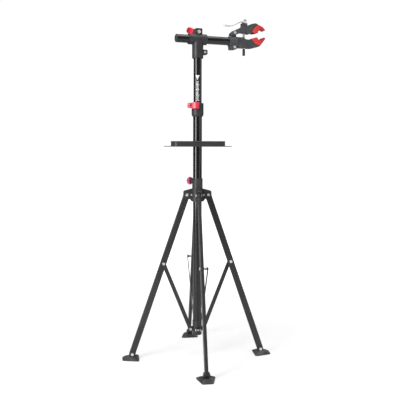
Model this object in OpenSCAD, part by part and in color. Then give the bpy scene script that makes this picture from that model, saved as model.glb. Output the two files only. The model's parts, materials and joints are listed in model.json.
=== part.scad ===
// Four-legged bicycle repair stand.
// A telescoping mast on a folding base carries a tool tray and a tee head, whose
// sliding boom ends in a cam-locked work clamp. Millimetres, Z up. The origin is on
// the floor under the mast's axis, and the boom points along +X.

/* [Base] */
// Leg length between its hub bolt and its foot bolt
leg_length = 818; // [700:1:1000]
// Angle between each leg and the mast when the base is open
leg_angle = 19; // [16:0.5:23]
// Turn of the base and the tray about the mast
leg_yaw = -12.6; // [-45:0.1:45]
// Depth of the leg tube in its own radial plane
leg_depth = 30; // [24:1:36]
// Thickness of the leg tube across its radial plane
leg_thickness = 16; // [12:1:20]
// Wall of the leg tube
leg_wall = 1.5; // [1:0.1:3]
// Distance along the leg from the hub bolt to the brace bolt
brace_bolt_along = 348; // [280:1:420]
// Height of the brace's lower bolt above the floor
brace_foot_z = 140; // [130:1:170]
// Width of the flat brace
brace_width = 19; // [14:1:22]
// Thickness of the flat brace
brace_thickness = 2.5; // [2:0.1:4]
// Length of the spacer between leg and brace
spacer_length = 17.45; // [12:0.01:24]
// Height of the foot bolt above the floor
foot_bolt_z = 26; // [24:1:32]

/* [Feet] */
// Foot length from the bolt towards the mast
foot_heel = 33; // [28:1:45]
// Foot length from the bolt outwards
foot_toe = 48; // [35:1:60]
// Foot width at the heel
foot_heel_w = 93; // [80:1:110]
// Foot width at the toe
foot_toe_w = 50; // [44:1:70]
// Thickness of the foot's sole
sole_thickness = 6; // [4:0.5:6.5]
// Thickness of each foot ear
foot_ear = 5; // [3:0.5:7]

/* [Mast] */
// Outside diameter of the lower tube
lower_tube_d = 42; // [35:1:51]
// Wall of both mast tubes
mast_wall = 1.4; // [1:0.1:2]
// Height of the lower tube's bottom end
lower_tube_bottom = 115; // [110:1:120]
// Length of the lower tube
lower_tube_length = 1110; // [1000:5:1350]
// Length of the upper tube
upper_tube_length = 609; // [560:1:760]
// Length of the upper tube that stands out of the lower tube
upper_tube_out = 284; // [240:1:400]
// Height of the tray's underside
tray_z = 1030.8; // [960:0.1:1080]

/* [Hub] */
// Wall of the sliding collar
hub_wall = 3.7; // [3:0.1:6]
// Height of the collar above the leg bolts
hub_above = 79.6; // [70:0.1:95]
// Height of the collar below the leg bolts
hub_below = 31.4; // [26:0.1:40]
// Clear distance between the collar and the leg's inner edge
hub_leg_gap = 12; // [10:1:18]
// Thickness of the spider's plates
spider_plate = 3; // [2.5:0.1:4]
// Diameter of the hub knob
knob_d = 38; // [30:1:44]

/* [Tray] */
// Tray length over its walls
tray_length = 242; // [200:1:300]
// Tray width over its walls
tray_width = 180; // [150:1:220]
// Tray height
tray_height = 26; // [22:1:40]
// Reach of each end wing past the wall
tray_wing = 37; // [30:1:45]
// Wall and floor of the tray
tray_wall = 2.5; // [2:0.1:3]

/* [Collar and levers] */
// Turn of the mast collar about the mast
collar_yaw = -20.2; // [-45:0.1:45]
// Wall of the mast collar
collar_wall = 7.5; // [6:0.1:9]
// Length of the mast collar below the lower tube's top end
collar_below = 52.2; // [45:0.1:70]
// Height of the mast collar above the lower tube's top end
collar_above = 11.6; // [10:0.1:16]
// Height of a cam lever's grip
lever_height = 31; // [28:1:36]
// Thickness of a cam lever's grip
lever_thickness = 6.5; // [5:0.5:8]

/* [Head] */
// Outside diameter of the boom
boom_d = 38; // [34:1:42]
// Wall of the boom
boom_wall = 1.5; // [1:0.1:2.5]
// Reach of the boom past the mast's axis, at the clamp end
boom_front = 190; // [180:1:260]
// Reach of the boom past the mast's axis, at the free end
boom_back = 107; // [95:1:180]
// Wall of the head's sleeves round the boom's liner
head_wall = 4; // [3.5:0.1:5]
// Length of the boom sleeve
head_length = 88; // [80:0.5:120]
// Height of the mast socket below the top of the upper tube
head_socket = 63; // [60:1:80]

/* [Clamp] */
// Half width of the jaws
jaw_half = 18; // [16:0.5:20]
// Depth of the boom in the clamp's socket
clamp_socket = 32; // [30:1:40]
// Wall of the clamp's socket
clamp_wall = 5; // [4:0.5:7]
// Radius of the clamp rod
rod_r = 3.5; // [3:0.1:4]

/* [Hidden] */
$fn = 64;

// Clearances: between moving faces, of a pin in its hole, and of a seat in one body
run_gap = 0.3;
pin_gap = 0.08;
seat_gap = 0.05;

// Bolts that act as pivots, and the common bolt head
pivot_r = 4;
head_r = 7;
head_t = 3.5;

// Base geometry, in each leg's radial plane
lower_r = lower_tube_d / 2;
hub_bore_r = lower_r + run_gap;
hub_r = hub_bore_r + hub_wall;
hub_pivot_r = hub_r + leg_depth / 2 + hub_leg_gap;
hub_pivot_z = foot_bolt_z + leg_length * cos(leg_angle);
foot_bolt_r = hub_pivot_r + leg_length * sin(leg_angle);
brace_top_r = hub_pivot_r + brace_bolt_along * sin(leg_angle);
brace_top_z = hub_pivot_z - brace_bolt_along * cos(leg_angle);
bracket_wall = 2;
bracket_r = lower_r + bracket_wall;
brace_foot_r = bracket_r + 10.5;
brace_rise = brace_top_z - brace_foot_z;
brace_run = brace_top_r - brace_foot_r;
brace_length = norm([brace_run, brace_rise]);
brace_lean = atan2(brace_run, brace_rise);
lug_in = 4.5;
lug_out = 8.45;
brace_low_t = lug_out + run_gap;
brace_high_t = leg_thickness / 2 + spacer_length + run_gap;
foot_gap = 1;

// Hub geometry
spider_gap = 0.6;
rivet_r = 2;
rivet_deep = 1.5;
rivet_x = hub_r + 5;
knob_boss_r = 10;
knob_boss_end = hub_r + 9;
knob_stud_r = 4;
knob_start = knob_boss_end + 2;
knob_t = 18;

// Tray details
tool_hole_r = 8;
tray_collar_ear = 12;

// Mast geometry
lower_top = lower_tube_bottom + lower_tube_length;
slide_gap = 0.35;
upper_r = lower_r - mast_wall - slide_gap;
upper_top = lower_top + upper_tube_out;
upper_bottom = upper_top - upper_tube_length;
bush_t = 6;
bush_r = lower_r;

// Collar, skewer and lever geometry, shared by the mast collar and the head
collar_r = lower_r + collar_wall;
ear_half = 16;
lever_head_r = 8.7;
cam_pin_r = 4;
skewer_r = 2.5;
skewer_x = collar_r + 9.5;
cam_pin_y = ear_half + run_gap + lever_head_r;
skewer_z = lower_top - 1;
fork_half = 12.5;
fork_slot = 3.4;

// Head geometry
liner_wall = 1.4;
liner_in = boom_d / 2 + run_gap;
liner_out = liner_in + liner_wall;
head_bore_r = liner_out + run_gap;
head_r_out = head_bore_r + head_wall;
head_web = 3.8;
boom_z = upper_top + head_bore_r + head_web;
head_x0 = -46;
head_x1 = head_x0 + head_length;
mast_socket_r = upper_r + 7.25;
block_x0 = -17;
block_x1 = 17;
block_top = head_r_out + 24;
block_half = 18;
head_skewer_x = 0;
head_skewer_z = boom_z + head_bore_r + 11.5;
head_pin_y = block_half + run_gap + lever_head_r;
head_lever_tilt = 22;
head_lug_x = mast_socket_r + 19;
head_lug_z = upper_top - head_socket + 29;
head_lug_bolt_x = head_lug_x - 13.5;

// Clamp geometry, from the socket's rear face and the boom's axis
clamp_x = boom_front - clamp_socket;
socket_r = boom_d / 2 + clamp_wall;
hinge_x = 25;
hinge_z = socket_r + 16;
pinch_z = -socket_r - 4;
lug_half = 8;
rod_x = 80;
rod_top = hinge_z + 61;
boss_top = rod_top - 11.5;
rod_bottom = -62;
rod_slot = rod_r + 0.9;
spring_low = 4;
spring_high = 50;
lower_seat = [[112, 17], [122, 1], [136, -11], [159, -14.5]];
upper_seat = [[114, 46], [118, 60], [128, 73], [139, 81], [150, 85]];

function leg_azimuth(k) = leg_yaw + 90 * (k - 1);
function reversed(points) = [for (i = [len(points) - 1:-1:0]) points[i]];
function unit(v) = v / norm(v);

// Distance from a corner to where a fillet of radius r starts
function fillet_reach(u, w, r) = r * sqrt((1 + u * w) / (1 - u * w));

// Convex outline, listed anticlockwise, with its corners rounded to radius r
module rounded(points, r) {
    n = len(points);
    before = [for (i = [0:n - 1]) unit(points[(i + n - 1) % n] - points[i])];
    after = [for (i = [0:n - 1]) unit(points[(i + 1) % n] - points[i])];
    polygon([for (i = [0:n - 1]) for (side = [before[i], after[i]])
        points[i] + side * fillet_reach(before[i], after[i], r)]);
    for (i = [0:n - 1])
        translate(points[i] + unit(before[i] + after[i]) * r / sqrt((1 - before[i] * after[i]) / 2))
            circle(r);
}

module rounded_rect(w, h, r) {
    rounded([[-w / 2, -h / 2], [w / 2, -h / 2], [w / 2, h / 2], [-w / 2, h / 2]], r);
}

// Slot outline from the origin to length along +X
module stadium(length, r) {
    translate([0, -r]) square([length, 2 * r]);
    circle(r);
    translate([length, 0]) circle(r);
}

module bar_x(x0, x1, r) {
    translate([x0, 0, 0]) rotate([0, 90, 0]) cylinder(h = x1 - x0, r = r);
}

module bar_y(y0, y1, r) {
    translate([0, y0, 0]) rotate([-90, 0, 0]) cylinder(h = y1 - y0, r = r);
}

module bar_z(z0, z1, r) {
    translate([0, 0, z0]) cylinder(h = z1 - z0, r = r);
}

module tube_x(x0, x1, r_out, r_in) {
    difference() {
        bar_x(x0, x1, r_out);
        bar_x(x0 - 1, x1 + 1, r_in);
    }
}

module tube_z(z0, z1, r_out, r_in) {
    difference() {
        bar_z(z0, z1, r_out);
        bar_z(z0 - 1, z1 + 1, r_in);
    }
}

// Outline drawn in the XZ plane, as thick as from y0 to y1
module plate_y(y0, y1) {
    translate([0, y1, 0]) rotate([90, 0, 0]) linear_extrude(y1 - y0) children();
}

module leg_plane(k) {
    rotate([0, 0, leg_azimuth(k)]) children();
}

// X along the leg from its hub bolt, Y across it, Z on its outer side
module leg_frame(k) {
    leg_plane(k) translate([hub_pivot_r, 0, hub_pivot_z]) rotate([0, 90 - leg_angle, 0]) children();
}

// X along the brace from its lower bolt, Y across it
module brace_frame(k) {
    leg_plane(k) translate([brace_foot_r, 0, brace_foot_z]) rotate([0, brace_lean - 90, 0]) children();
}

module clamp_frame() {
    translate([clamp_x, 0, boom_z]) children();
}

// Base

module leg(k) {
    plug = 24;
    corner = 3;
    color([0.09, 0.09, 0.1]) leg_frame(k) difference() {
        intersection() {
            translate([-leg_depth / 2, 0, 0]) rotate([90, 0, 90]) linear_extrude(leg_length + leg_depth)
                rounded_rect(leg_thickness, leg_depth, corner);
            plate_y(-leg_thickness, leg_thickness) stadium(leg_length, leg_depth / 2);
        }
        translate([plug, 0, 0]) rotate([90, 0, 90]) linear_extrude(leg_length - 2 * plug)
            rounded_rect(leg_thickness - 2 * leg_wall, leg_depth - 2 * leg_wall, corner - leg_wall);
        for (along = [0, brace_bolt_along, leg_length])
            translate([along, 0, 0]) bar_y(-leg_thickness, leg_thickness, pivot_r + pin_gap);
    }
}

// Brace bolt with its spacer, and the foot bolt
module leg_hardware(k) {
    face = leg_thickness / 2;
    ear_face = face + foot_gap + foot_ear + run_gap;
    color("silver") {
        leg_frame(k) translate([brace_bolt_along, 0, 0]) {
            bar_y(-face - head_t, -face, head_r);
            bar_y(-face, face + spacer_length, pivot_r);
            difference() {
                bar_y(face, face + spacer_length, 6.2);
                bar_y(face - 1, face + spacer_length + 1, pivot_r + seat_gap);
            }
        }
        leg_frame(k) translate([leg_length, 0, 0]) {
            bar_y(-ear_face, ear_face, pivot_r);
            for (side = [-1, 1])
                bar_y(min(side * ear_face, side * (ear_face + head_t)),
                    max(side * ear_face, side * (ear_face + head_t)), head_r);
        }
    }
}

// Flat bar, stepped sideways between its lower and its upper bolt
module brace(k) {
    half = brace_width / 2;
    flat = 18;
    thick = [0, brace_thickness];
    color([0.1, 0.1, 0.11]) brace_frame(k) difference() {
        intersection() {
            translate([0, 0, -brace_width]) linear_extrude(2 * brace_width) polygon([
                [-brace_width, brace_low_t], [flat, brace_low_t],
                [brace_length - flat, brace_high_t], [brace_length + brace_width, brace_high_t],
                [brace_length + brace_width, brace_high_t] + thick,
                [brace_length - flat, brace_high_t] + thick,
                [flat, brace_low_t] + thick, [-brace_width, brace_low_t] + thick
            ]);
            plate_y(0, brace_high_t + brace_width) stadium(brace_length, half);
        }
        for (along = [0, brace_length])
            translate([along, 0, 0]) bar_y(0, brace_high_t + brace_width, pivot_r + pin_gap);
    }
}

// Nut on the brace's outer face, with its stub in the brace
module brace_nut(k) {
    outer = brace_high_t + brace_thickness;
    color("silver") brace_frame(k) translate([brace_length, 0, 0]) {
        bar_y(brace_high_t, outer, pivot_r);
        translate([0, outer + head_t, 0]) rotate([90, 0, 0]) cylinder(h = head_t, r = head_r, $fn = 6);
    }
}

// Plan of the foot, shrunk by inset on each side
module foot_plan(inset) {
    heel = foot_heel_w / 2 - inset * 1.2;
    toe = foot_toe_w / 2 - inset * 0.9;
    rounded([[-foot_heel + inset, -heel], [foot_toe - inset, -toe],
        [foot_toe - inset, toe], [-foot_heel + inset, heel]], 9);
}

// Pad with a stepped crown and two ears that hold the leg's end
module foot(k) {
    face = leg_thickness / 2 + foot_gap;
    ear_r = 12;
    step_rise = 3;
    color([0.13, 0.13, 0.14]) leg_plane(k) translate([foot_bolt_r, 0, 0]) difference() {
        union() {
            linear_extrude(sole_thickness) foot_plan(0);
            for (step = [1:3])
                linear_extrude(sole_thickness + step * step_rise) foot_plan(1 + 4 * step);
            for (side = [-1, 1])
                plate_y(side * (face + foot_ear / 2) - foot_ear / 2, side * (face + foot_ear / 2) + foot_ear / 2) {
                    translate([-ear_r, 1]) square([2 * ear_r, foot_bolt_z - 1]);
                    translate([0, foot_bolt_z]) circle(ear_r);
                }
        }
        translate([0, 0, foot_bolt_z]) {
            bar_y(-face, face, leg_depth / 2 + 1);
            bar_y(-foot_heel_w, foot_heel_w, pivot_r + pin_gap);
        }
    }
}

// Hub

module hub_collar() {
    z0 = hub_pivot_z - hub_below;
    z1 = hub_pivot_z + hub_above;
    chamfer = 2;
    color([0.12, 0.12, 0.13]) difference() {
        union() {
            bar_z(z0, z1 - chamfer, hub_r);
            translate([0, 0, z1 - chamfer]) cylinder(h = chamfer, r1 = hub_r, r2 = hub_r - chamfer);
            knob_frame() bar_x(hub_bore_r, knob_boss_end, knob_boss_r);
        }
        bar_z(z0 - 1, z1 + 1, hub_bore_r);
        knob_frame() bar_x(0, knob_boss_end + 1, knob_stud_r + run_gap);
    }
}

module knob_frame() {
    rotate([0, 0, leg_yaw + 135]) translate([0, 0, hub_pivot_z + hub_above - 13.5]) children();
}

// Four forked arms on a ring, each with a sloping web over its leg
module hub_spider() {
    ring_r = hub_r + seat_gap;
    ring_out = hub_r + 2.5;
    ring_mid = hub_r + 1.2;
    inner = leg_thickness / 2 + spider_gap;
    outer = inner + spider_plate;
    reach = hub_pivot_r + leg_depth / 2;
    web_in = hub_pivot_z + 30;
    web_out = hub_pivot_z + 20;
    web_under = hub_pivot_z + leg_depth / 2 + 1.5;
    low_out = hub_pivot_z - 22;
    low_in = hub_pivot_z - hub_below;
    color([0.14, 0.14, 0.15]) difference() {
        union() {
            bar_z(low_in, web_in, ring_out);
            for (k = [1:4]) leg_plane(k) difference() {
                plate_y(-outer, outer) polygon([
                    [0, low_in], [hub_r + 3, low_in], [hub_r + 12, low_out + 3], [hub_r + 22, low_out],
                    [reach - 4, low_out], [reach, low_out + 5], [reach, web_out - 5],
                    [reach - 4, web_out], [hub_r, web_in], [0, web_in]
                ]);
                translate([ring_mid, -inner, low_in - 1]) cube([reach, 2 * inner, web_under - low_in + 1]);
                translate([hub_pivot_r, 0, hub_pivot_z]) bar_y(-outer - 1, outer + 1, pivot_r + seat_gap);
                for (side = [-1, 1]) translate([rivet_x, 0, hub_pivot_z])
                    bar_y(side * outer - rivet_deep, side * outer + rivet_deep, rivet_r + seat_gap);
            }
        }
        bar_z(low_in - 1, web_in + 1, ring_r);
    }
}

module hub_pivot_bolts() {
    face = leg_thickness / 2 + spider_gap + spider_plate;
    color("silver") for (k = [1:4]) leg_plane(k) translate([hub_pivot_r, 0, hub_pivot_z]) {
        bar_y(-face - head_t, -face, head_r);
        bar_y(-face, face, pivot_r);
        bar_y(face, face + head_t, head_r);
    }
}

module hub_rivets() {
    face = leg_thickness / 2 + spider_gap + spider_plate;
    color("silver") for (k = [1:4]) for (turn = [0, 1])
        leg_plane(k) mirror([0, turn, 0]) translate([rivet_x, 0, hub_pivot_z]) {
            bar_y(face - rivet_deep, face, rivet_r);
            bar_y(face, face + 2, 4);
        }
}

module hub_knob() {
    lobes = 8;
    color([0.55, 0.03, 0.07]) knob_frame() difference() {
        bar_x(knob_start, knob_start + knob_t, knob_d / 2);
        for (i = [0:lobes - 1]) rotate([360 * i / lobes, 0, 0])
            translate([0, 0, knob_d / 2 + 2.5]) bar_x(knob_start - 1, knob_start + knob_t + 1, 4.5);
        bar_x(knob_start - 1, knob_start + 12, knob_stud_r + seat_gap);
    }
}

module hub_knob_stud() {
    color("silver") knob_frame() bar_x(hub_bore_r + 0.2, knob_start + 12, knob_stud_r);
}

// Mast

module lower_tube() {
    color([0.05, 0.05, 0.055]) tube_z(lower_tube_bottom, lower_top, lower_r, lower_r - mast_wall);
}

// Floored sleeve on the mast's foot, with a pair of lugs for each brace
module foot_bracket() {
    floor_t = 3;
    lug_r = brace_width / 2;
    color([0.1, 0.1, 0.11]) difference() {
        union() {
            bar_z(lower_tube_bottom - floor_t, lower_tube_bottom + 67, bracket_r);
            for (k = [1:4]) leg_plane(k) for (side = [-1, 1])
                plate_y(side > 0 ? lug_in : -lug_out, side > 0 ? lug_out : -lug_in) {
                    translate([0, brace_foot_z - lug_r]) square([brace_foot_r, 2 * lug_r]);
                    translate([brace_foot_r, brace_foot_z]) circle(lug_r);
                }
        }
        bar_z(lower_tube_bottom, lower_tube_bottom + 68, lower_r + seat_gap);
        for (k = [1:4]) leg_plane(k) translate([brace_foot_r, 0, brace_foot_z])
            bar_y(-lug_out - 1, lug_out + 1, pivot_r + seat_gap);
    }
}

module brace_pivot_bolts() {
    nut_face = brace_low_t + brace_thickness + run_gap;
    color("silver") for (k = [1:4]) leg_plane(k) translate([brace_foot_r, 0, brace_foot_z]) {
        bar_y(-lug_out - head_t, -lug_out, head_r - 1);
        bar_y(-lug_out, nut_face, pivot_r);
        bar_y(nut_face, nut_face + head_t, head_r - 1);
    }
}

// Split collar that pinches the lower tube on the upper one
module qr_collar() {
    z0 = lower_top - collar_below;
    z1 = lower_top + collar_above;
    taper = 4;
    color([0.2, 0.2, 0.21]) rotate([0, 0, collar_yaw]) difference() {
        union() {
            translate([0, 0, z0]) cylinder(h = 9, r1 = collar_r - taper, r2 = collar_r);
            bar_z(z0 + 9, z1 - 2, collar_r);
            translate([0, 0, z1 - 2]) cylinder(h = 2, r1 = collar_r, r2 = collar_r - 2);
            plate_y(-ear_half, ear_half) {
                translate([-skewer_x, skewer_z - 10]) square([skewer_x, 20]);
                translate([-skewer_x, skewer_z]) circle(10);
            }
        }
        bar_z(z0 - 1, lower_top, lower_r + seat_gap);
        bar_z(z0, lower_top + bush_t + 0.2, bush_r + seat_gap);
        bar_z(z0, z1 + 1, upper_r + run_gap + 0.2);
        translate([-2 * skewer_x, -1.75, z0 - 1]) cube([2 * skewer_x, 3.5, z1 - z0 + 2]);
        translate([-skewer_x, 0, skewer_z]) bar_y(-ear_half - 1, ear_half + 1, skewer_r + seat_gap);
    }
}

module guide_bush() {
    color([0.75, 0.75, 0.72]) tube_z(lower_top + 0.1, lower_top + bush_t, bush_r, upper_r + run_gap);
}

// Skewer along Y through the ears, from the cam pin to its nut
module skewer(pin_y, ear_y) {
    bar_y(-pin_y + cam_pin_r + seat_gap, ear_y, skewer_r);
    bar_y(ear_y, ear_y + 6, 8);
}

module qr_skewer() {
    color("silver") rotate([0, 0, collar_yaw]) translate([-skewer_x, 0, skewer_z])
        skewer(cam_pin_y, ear_half);
}

module qr_cam_pin() {
    color("silver") rotate([0, 0, collar_yaw]) translate([-skewer_x, -cam_pin_y, skewer_z])
        bar_z(-fork_half, fork_half, cam_pin_r);
}

// Cam lever: its pin stands at the origin, and its grip wraps a round body that lies
// at body_x, body_y and has the radius body_r
module cam_lever(body_x, body_y, body_r, sweep) {
    inner = body_r + 1.8;
    outer = inner + lever_thickness;
    start = -125;
    join = start + 5;
    half = lever_height / 2;
    difference() {
        union() {
            bar_z(-fork_half, fork_half, lever_head_r);
            translate([0, 0, -fork_half]) linear_extrude(2 * fork_half) polygon([
                [0, -lever_head_r], [8, -lever_head_r + 0.2],
                [body_x + outer * cos(start), body_y + outer * sin(start)],
                [body_x + (outer - 1) * cos(join), body_y + (outer - 1) * sin(join)],
                [body_x + (inner + 1) * cos(join), body_y + (inner + 1) * sin(join)],
                [body_x + inner * cos(start), body_y + inner * sin(start)],
                [lever_head_r + 2, lever_head_r * 0.55], [0, lever_head_r]
            ]);
            translate([body_x, body_y, 0]) intersection() {
                tube_z(-half, half, outer, inner);
                translate([0, 0, -half]) linear_extrude(2 * half) polygon([
                    [0, 0], 2 * outer * [cos(start), sin(start)],
                    2 * outer * [cos(start + sweep / 2), sin(start + sweep / 2)],
                    2 * outer * [cos(start + sweep), sin(start + sweep)]
                ]);
            }
        }
        bar_z(-lever_height, lever_height, cam_pin_r + pin_gap);
        translate([-2 * lever_head_r, -2 * lever_head_r, -fork_slot])
            cube([3 * lever_head_r, 4 * lever_head_r, 2 * fork_slot]);
    }
}

module qr_lever() {
    color([0.85, 0.2, 0.25]) rotate([0, 0, collar_yaw]) translate([-skewer_x, -cam_pin_y, skewer_z])
        cam_lever(skewer_x, cam_pin_y, collar_r, 47);
}

// Tray

module tray_frame() {
    rotate([0, 0, leg_yaw]) translate([0, 0, tray_z]) children();
}

// Open tray round the mast, with a tool-hole wing at each end
module tool_tray() {
    corner = 18;
    wing_w = tray_width - 40;
    full = tray_length + 2 * tray_wing;
    hub_out = lower_r + 6;
    color([0.2, 0.2, 0.21]) tray_frame() difference() {
        union() {
            difference() {
                linear_extrude(tray_height) rounded_rect(tray_length, tray_width, corner);
                translate([0, 0, tray_wall]) linear_extrude(tray_height)
                    rounded_rect(tray_length - 2 * tray_wall, tray_width - 2 * tray_wall, corner - tray_wall);
            }
            linear_extrude(tray_wall) rounded_rect(full, wing_w, corner);
            linear_extrude(10) circle(hub_out);
            translate([-1.2, -tray_width / 2 + 1, 0]) cube([2.4, tray_width - 2, 18]);
            translate([hub_out - 3, -1.2, 0]) cube([tray_length / 2 - hub_out + 2, 2.4, 18]);
        }
        bar_z(-1, tray_height + 1, lower_r + seat_gap);
        bar_z(10, tray_height + 1, lower_r + 8);
        translate([-12, lower_r, 10]) cube([24, tray_collar_ear + 8, tray_height]);
        for (side = [-1, 1]) for (i = [-2:2])
            translate([side * (tray_length + tray_wing) / 2, i * 25, -1])
                cylinder(h = tray_wall + 2, r = tool_hole_r - abs(i));
    }
}

// Split ring that rests in the tray and pinches the mast
module tray_collar() {
    color([0.12, 0.12, 0.13]) tray_frame() difference() {
        union() {
            bar_z(10, 22, lower_r + 5);
            translate([-7, 0, 10]) cube([14, lower_r + 5 + tray_collar_ear, 12]);
        }
        bar_z(9, 23, lower_r + seat_gap);
        translate([-1.5, 0, 9]) cube([3, 2 * lower_r, 14]);
        translate([0, lower_r + 5 + tray_collar_ear / 2, 16]) bar_x(-8, 8, 2.5 + seat_gap);
    }
}

module tray_screw() {
    color("silver") tray_frame() translate([0, lower_r + 5 + tray_collar_ear / 2, 16]) {
        bar_x(-7, 11, 2.5);
        bar_x(-10, -7, 4.5);
        translate([7, 0, 0]) rotate([0, 90, 0]) cylinder(h = 3, r = 4.5, $fn = 6);
    }
}

// Telescope and head

// Plug in the upper tube's lower end that runs in the lower tube
module slider_bush() {
    color([0.75, 0.75, 0.72]) {
        bar_z(upper_bottom - 14, upper_bottom - 0.1, upper_r + slide_gap - 0.1);
        bar_z(upper_bottom - 0.1, upper_bottom + 30, upper_r - mast_wall - pin_gap);
    }
}

module upper_tube() {
    color([0.05, 0.05, 0.055]) tube_z(upper_bottom, upper_top, upper_r, upper_r - mast_wall);
}

// Tee casting: a socket on the upper tube and a split sleeve for the boom
module head_casting() {
    z0 = upper_top - head_socket;
    color([0.17, 0.17, 0.18]) difference() {
        union() {
            bar_z(z0, boom_z, mast_socket_r);
            translate([0, 0, boom_z]) bar_x(head_x0, head_x1, head_r_out);
            translate([0, 0, boom_z]) plate_y(-block_half, block_half)
                rounded([[block_x0, 0], [block_x1, 0], [block_x1, block_top], [block_x0, block_top]], 5);
            translate([0, 0, head_lug_z]) plate_y(-12, 12)
                rounded([[0, -11.5], [head_lug_x, -11.5], [head_lug_x, 11.5], [0, 11.5]], 5);
        }
        bar_z(z0 - 1, upper_top, upper_r + seat_gap);
        translate([0, 0, boom_z]) bar_x(head_x0 - 1, head_x1 + 1, head_bore_r);
        translate([head_x0 - 1, -1.5, boom_z]) cube([head_length + 2, 3, block_top + 1]);
        translate([0, -1.5, z0 - 1]) cube([head_lug_x + 1, 3, 46]);
        translate([head_lug_bolt_x, 0, head_lug_z]) bar_y(-13, 13, 3 + seat_gap);
        translate([head_skewer_x, 0, head_skewer_z]) bar_y(-block_half - 1, block_half + 1, skewer_r + seat_gap);
    }
}

module head_lug_bolt() {
    color("silver") translate([head_lug_bolt_x, 0, head_lug_z]) {
        bar_y(-12, 12, 3);
        bar_y(-16, -12, 6);
        translate([0, 16, 0]) rotate([90, 0, 0]) cylinder(h = 4, r = 6, $fn = 6);
    }
}

// The head's lever faces the other way from the mast's
module head_lever_frame() {
    translate([head_skewer_x, 0, head_skewer_z]) rotate([0, 0, 180])
        rotate([0, -head_lever_tilt, 0]) children();
}

module head_skewer() {
    color("silver") head_lever_frame() skewer(head_pin_y, block_half);
}

module head_cam_pin() {
    color("silver") head_lever_frame() translate([0, -head_pin_y, 0])
        bar_z(-fork_half, fork_half, cam_pin_r);
}

module head_lever() {
    color([0.78, 0.05, 0.17]) head_lever_frame() translate([0, -head_pin_y, 0])
        cam_lever(skewer_x, cam_pin_y, collar_r, 47);
}

// Sleeve with a lip at each end, in which the boom slides
module boom_liner() {
    lip_t = 1.5;
    color([0.08, 0.08, 0.09]) translate([0, 0, boom_z]) difference() {
        union() {
            bar_x(head_x0 - run_gap - lip_t, head_x1 + run_gap + lip_t, liner_out);
            bar_x(head_x0 - run_gap - lip_t, head_x0 - run_gap, liner_out + 2.3);
            bar_x(head_x1 + run_gap, head_x1 + run_gap + lip_t, liner_out + 2.3);
        }
        bar_x(2 * head_x0, 2 * head_x1, liner_in);
    }
}

// Boom and clamp

module boom_tube() {
    color([0.05, 0.05, 0.055]) translate([0, 0, boom_z])
        tube_x(-boom_back, boom_front, boom_d / 2, boom_d / 2 - boom_wall);
}

module boom_end_cap() {
    color([0.08, 0.08, 0.09]) translate([-boom_back, 0, boom_z]) {
        bar_x(-3, 0, boom_d / 2);
        bar_x(0, 16, boom_d / 2 - boom_wall - seat_gap);
    }
}

// Split socket on the boom, a lug for the jaw's hinge, and the fixed lower jaw
module clamp_body() {
    color([0.24, 0.24, 0.25]) clamp_frame() difference() {
        union() {
            bar_x(0, clamp_socket + 8, socket_r);
            plate_y(-jaw_half, jaw_half) polygon(concat(
                [[20, 20.5], [72, 20.5], [82, 12.5], [99, 11.5]], lower_seat,
                [[152, -19], [118, -28], [46, -28], [41, -20], [20, -20]]
            ));
            plate_y(-jaw_half, jaw_half) polygon([[4, 0], [5, pinch_z - 8], [9, pinch_z - 12],
                [32, pinch_z - 10], [36, pinch_z - 7], [37, 0]]);
            plate_y(-lug_half, lug_half) {
                translate([hinge_x - 11, 0]) square([22, hinge_z]);
                translate([hinge_x, hinge_z]) circle(11);
            }
        }
        bar_x(-1, clamp_socket, boom_d / 2 + seat_gap);
        translate([-1, -1.5, 2 * pinch_z]) cube([clamp_socket + 1, 3, -2 * pinch_z]);
        translate([hinge_x, 0, hinge_z]) bar_y(-lug_half - 1, lug_half + 1, pivot_r + seat_gap);
        translate([hinge_x, 0, pinch_z]) bar_y(-jaw_half - 1, jaw_half + 1, pivot_r + seat_gap);
        plate_y(-rod_slot, rod_slot) polygon([
            [rod_x - rod_slot, -40], [rod_x + rod_slot, -40],
            [rod_x + rod_slot + 6, 25], [rod_x - rod_slot, 25]
        ]);
        translate([rod_x, 0, 0]) bar_z(spring_low - 0.2, 30, 8.5);
    }
}

module lower_pad() {
    color([0.9, 0.3, 0.3]) clamp_frame() plate_y(-jaw_half, jaw_half) polygon(concat(
        reversed(lower_seat),
        [[136, 24], [151, 11], [177, 26], [186, 24.5], [186, 19], [168, -4]]
    ));
}

// Hinge bolt of the upper jaw and pinch bolt of the socket
module clamp_bolts() {
    color("silver") clamp_frame() for (z = [hinge_z, pinch_z]) translate([hinge_x, 0, z]) {
        bar_y(-jaw_half - run_gap, jaw_half + run_gap, pivot_r);
        bar_y(-jaw_half - run_gap - 3, -jaw_half - run_gap, 6.5);
        translate([0, jaw_half + run_gap + 3, 0]) rotate([90, 0, 0]) cylinder(h = 3, r = 6.5, $fn = 6);
    }
}

// Washer under the lower jaw
module clamp_washer() {
    color("silver") clamp_frame() translate([rod_x, 0, 0]) tube_z(-31, -28, 7.5, rod_r + 1.2);
}

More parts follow.
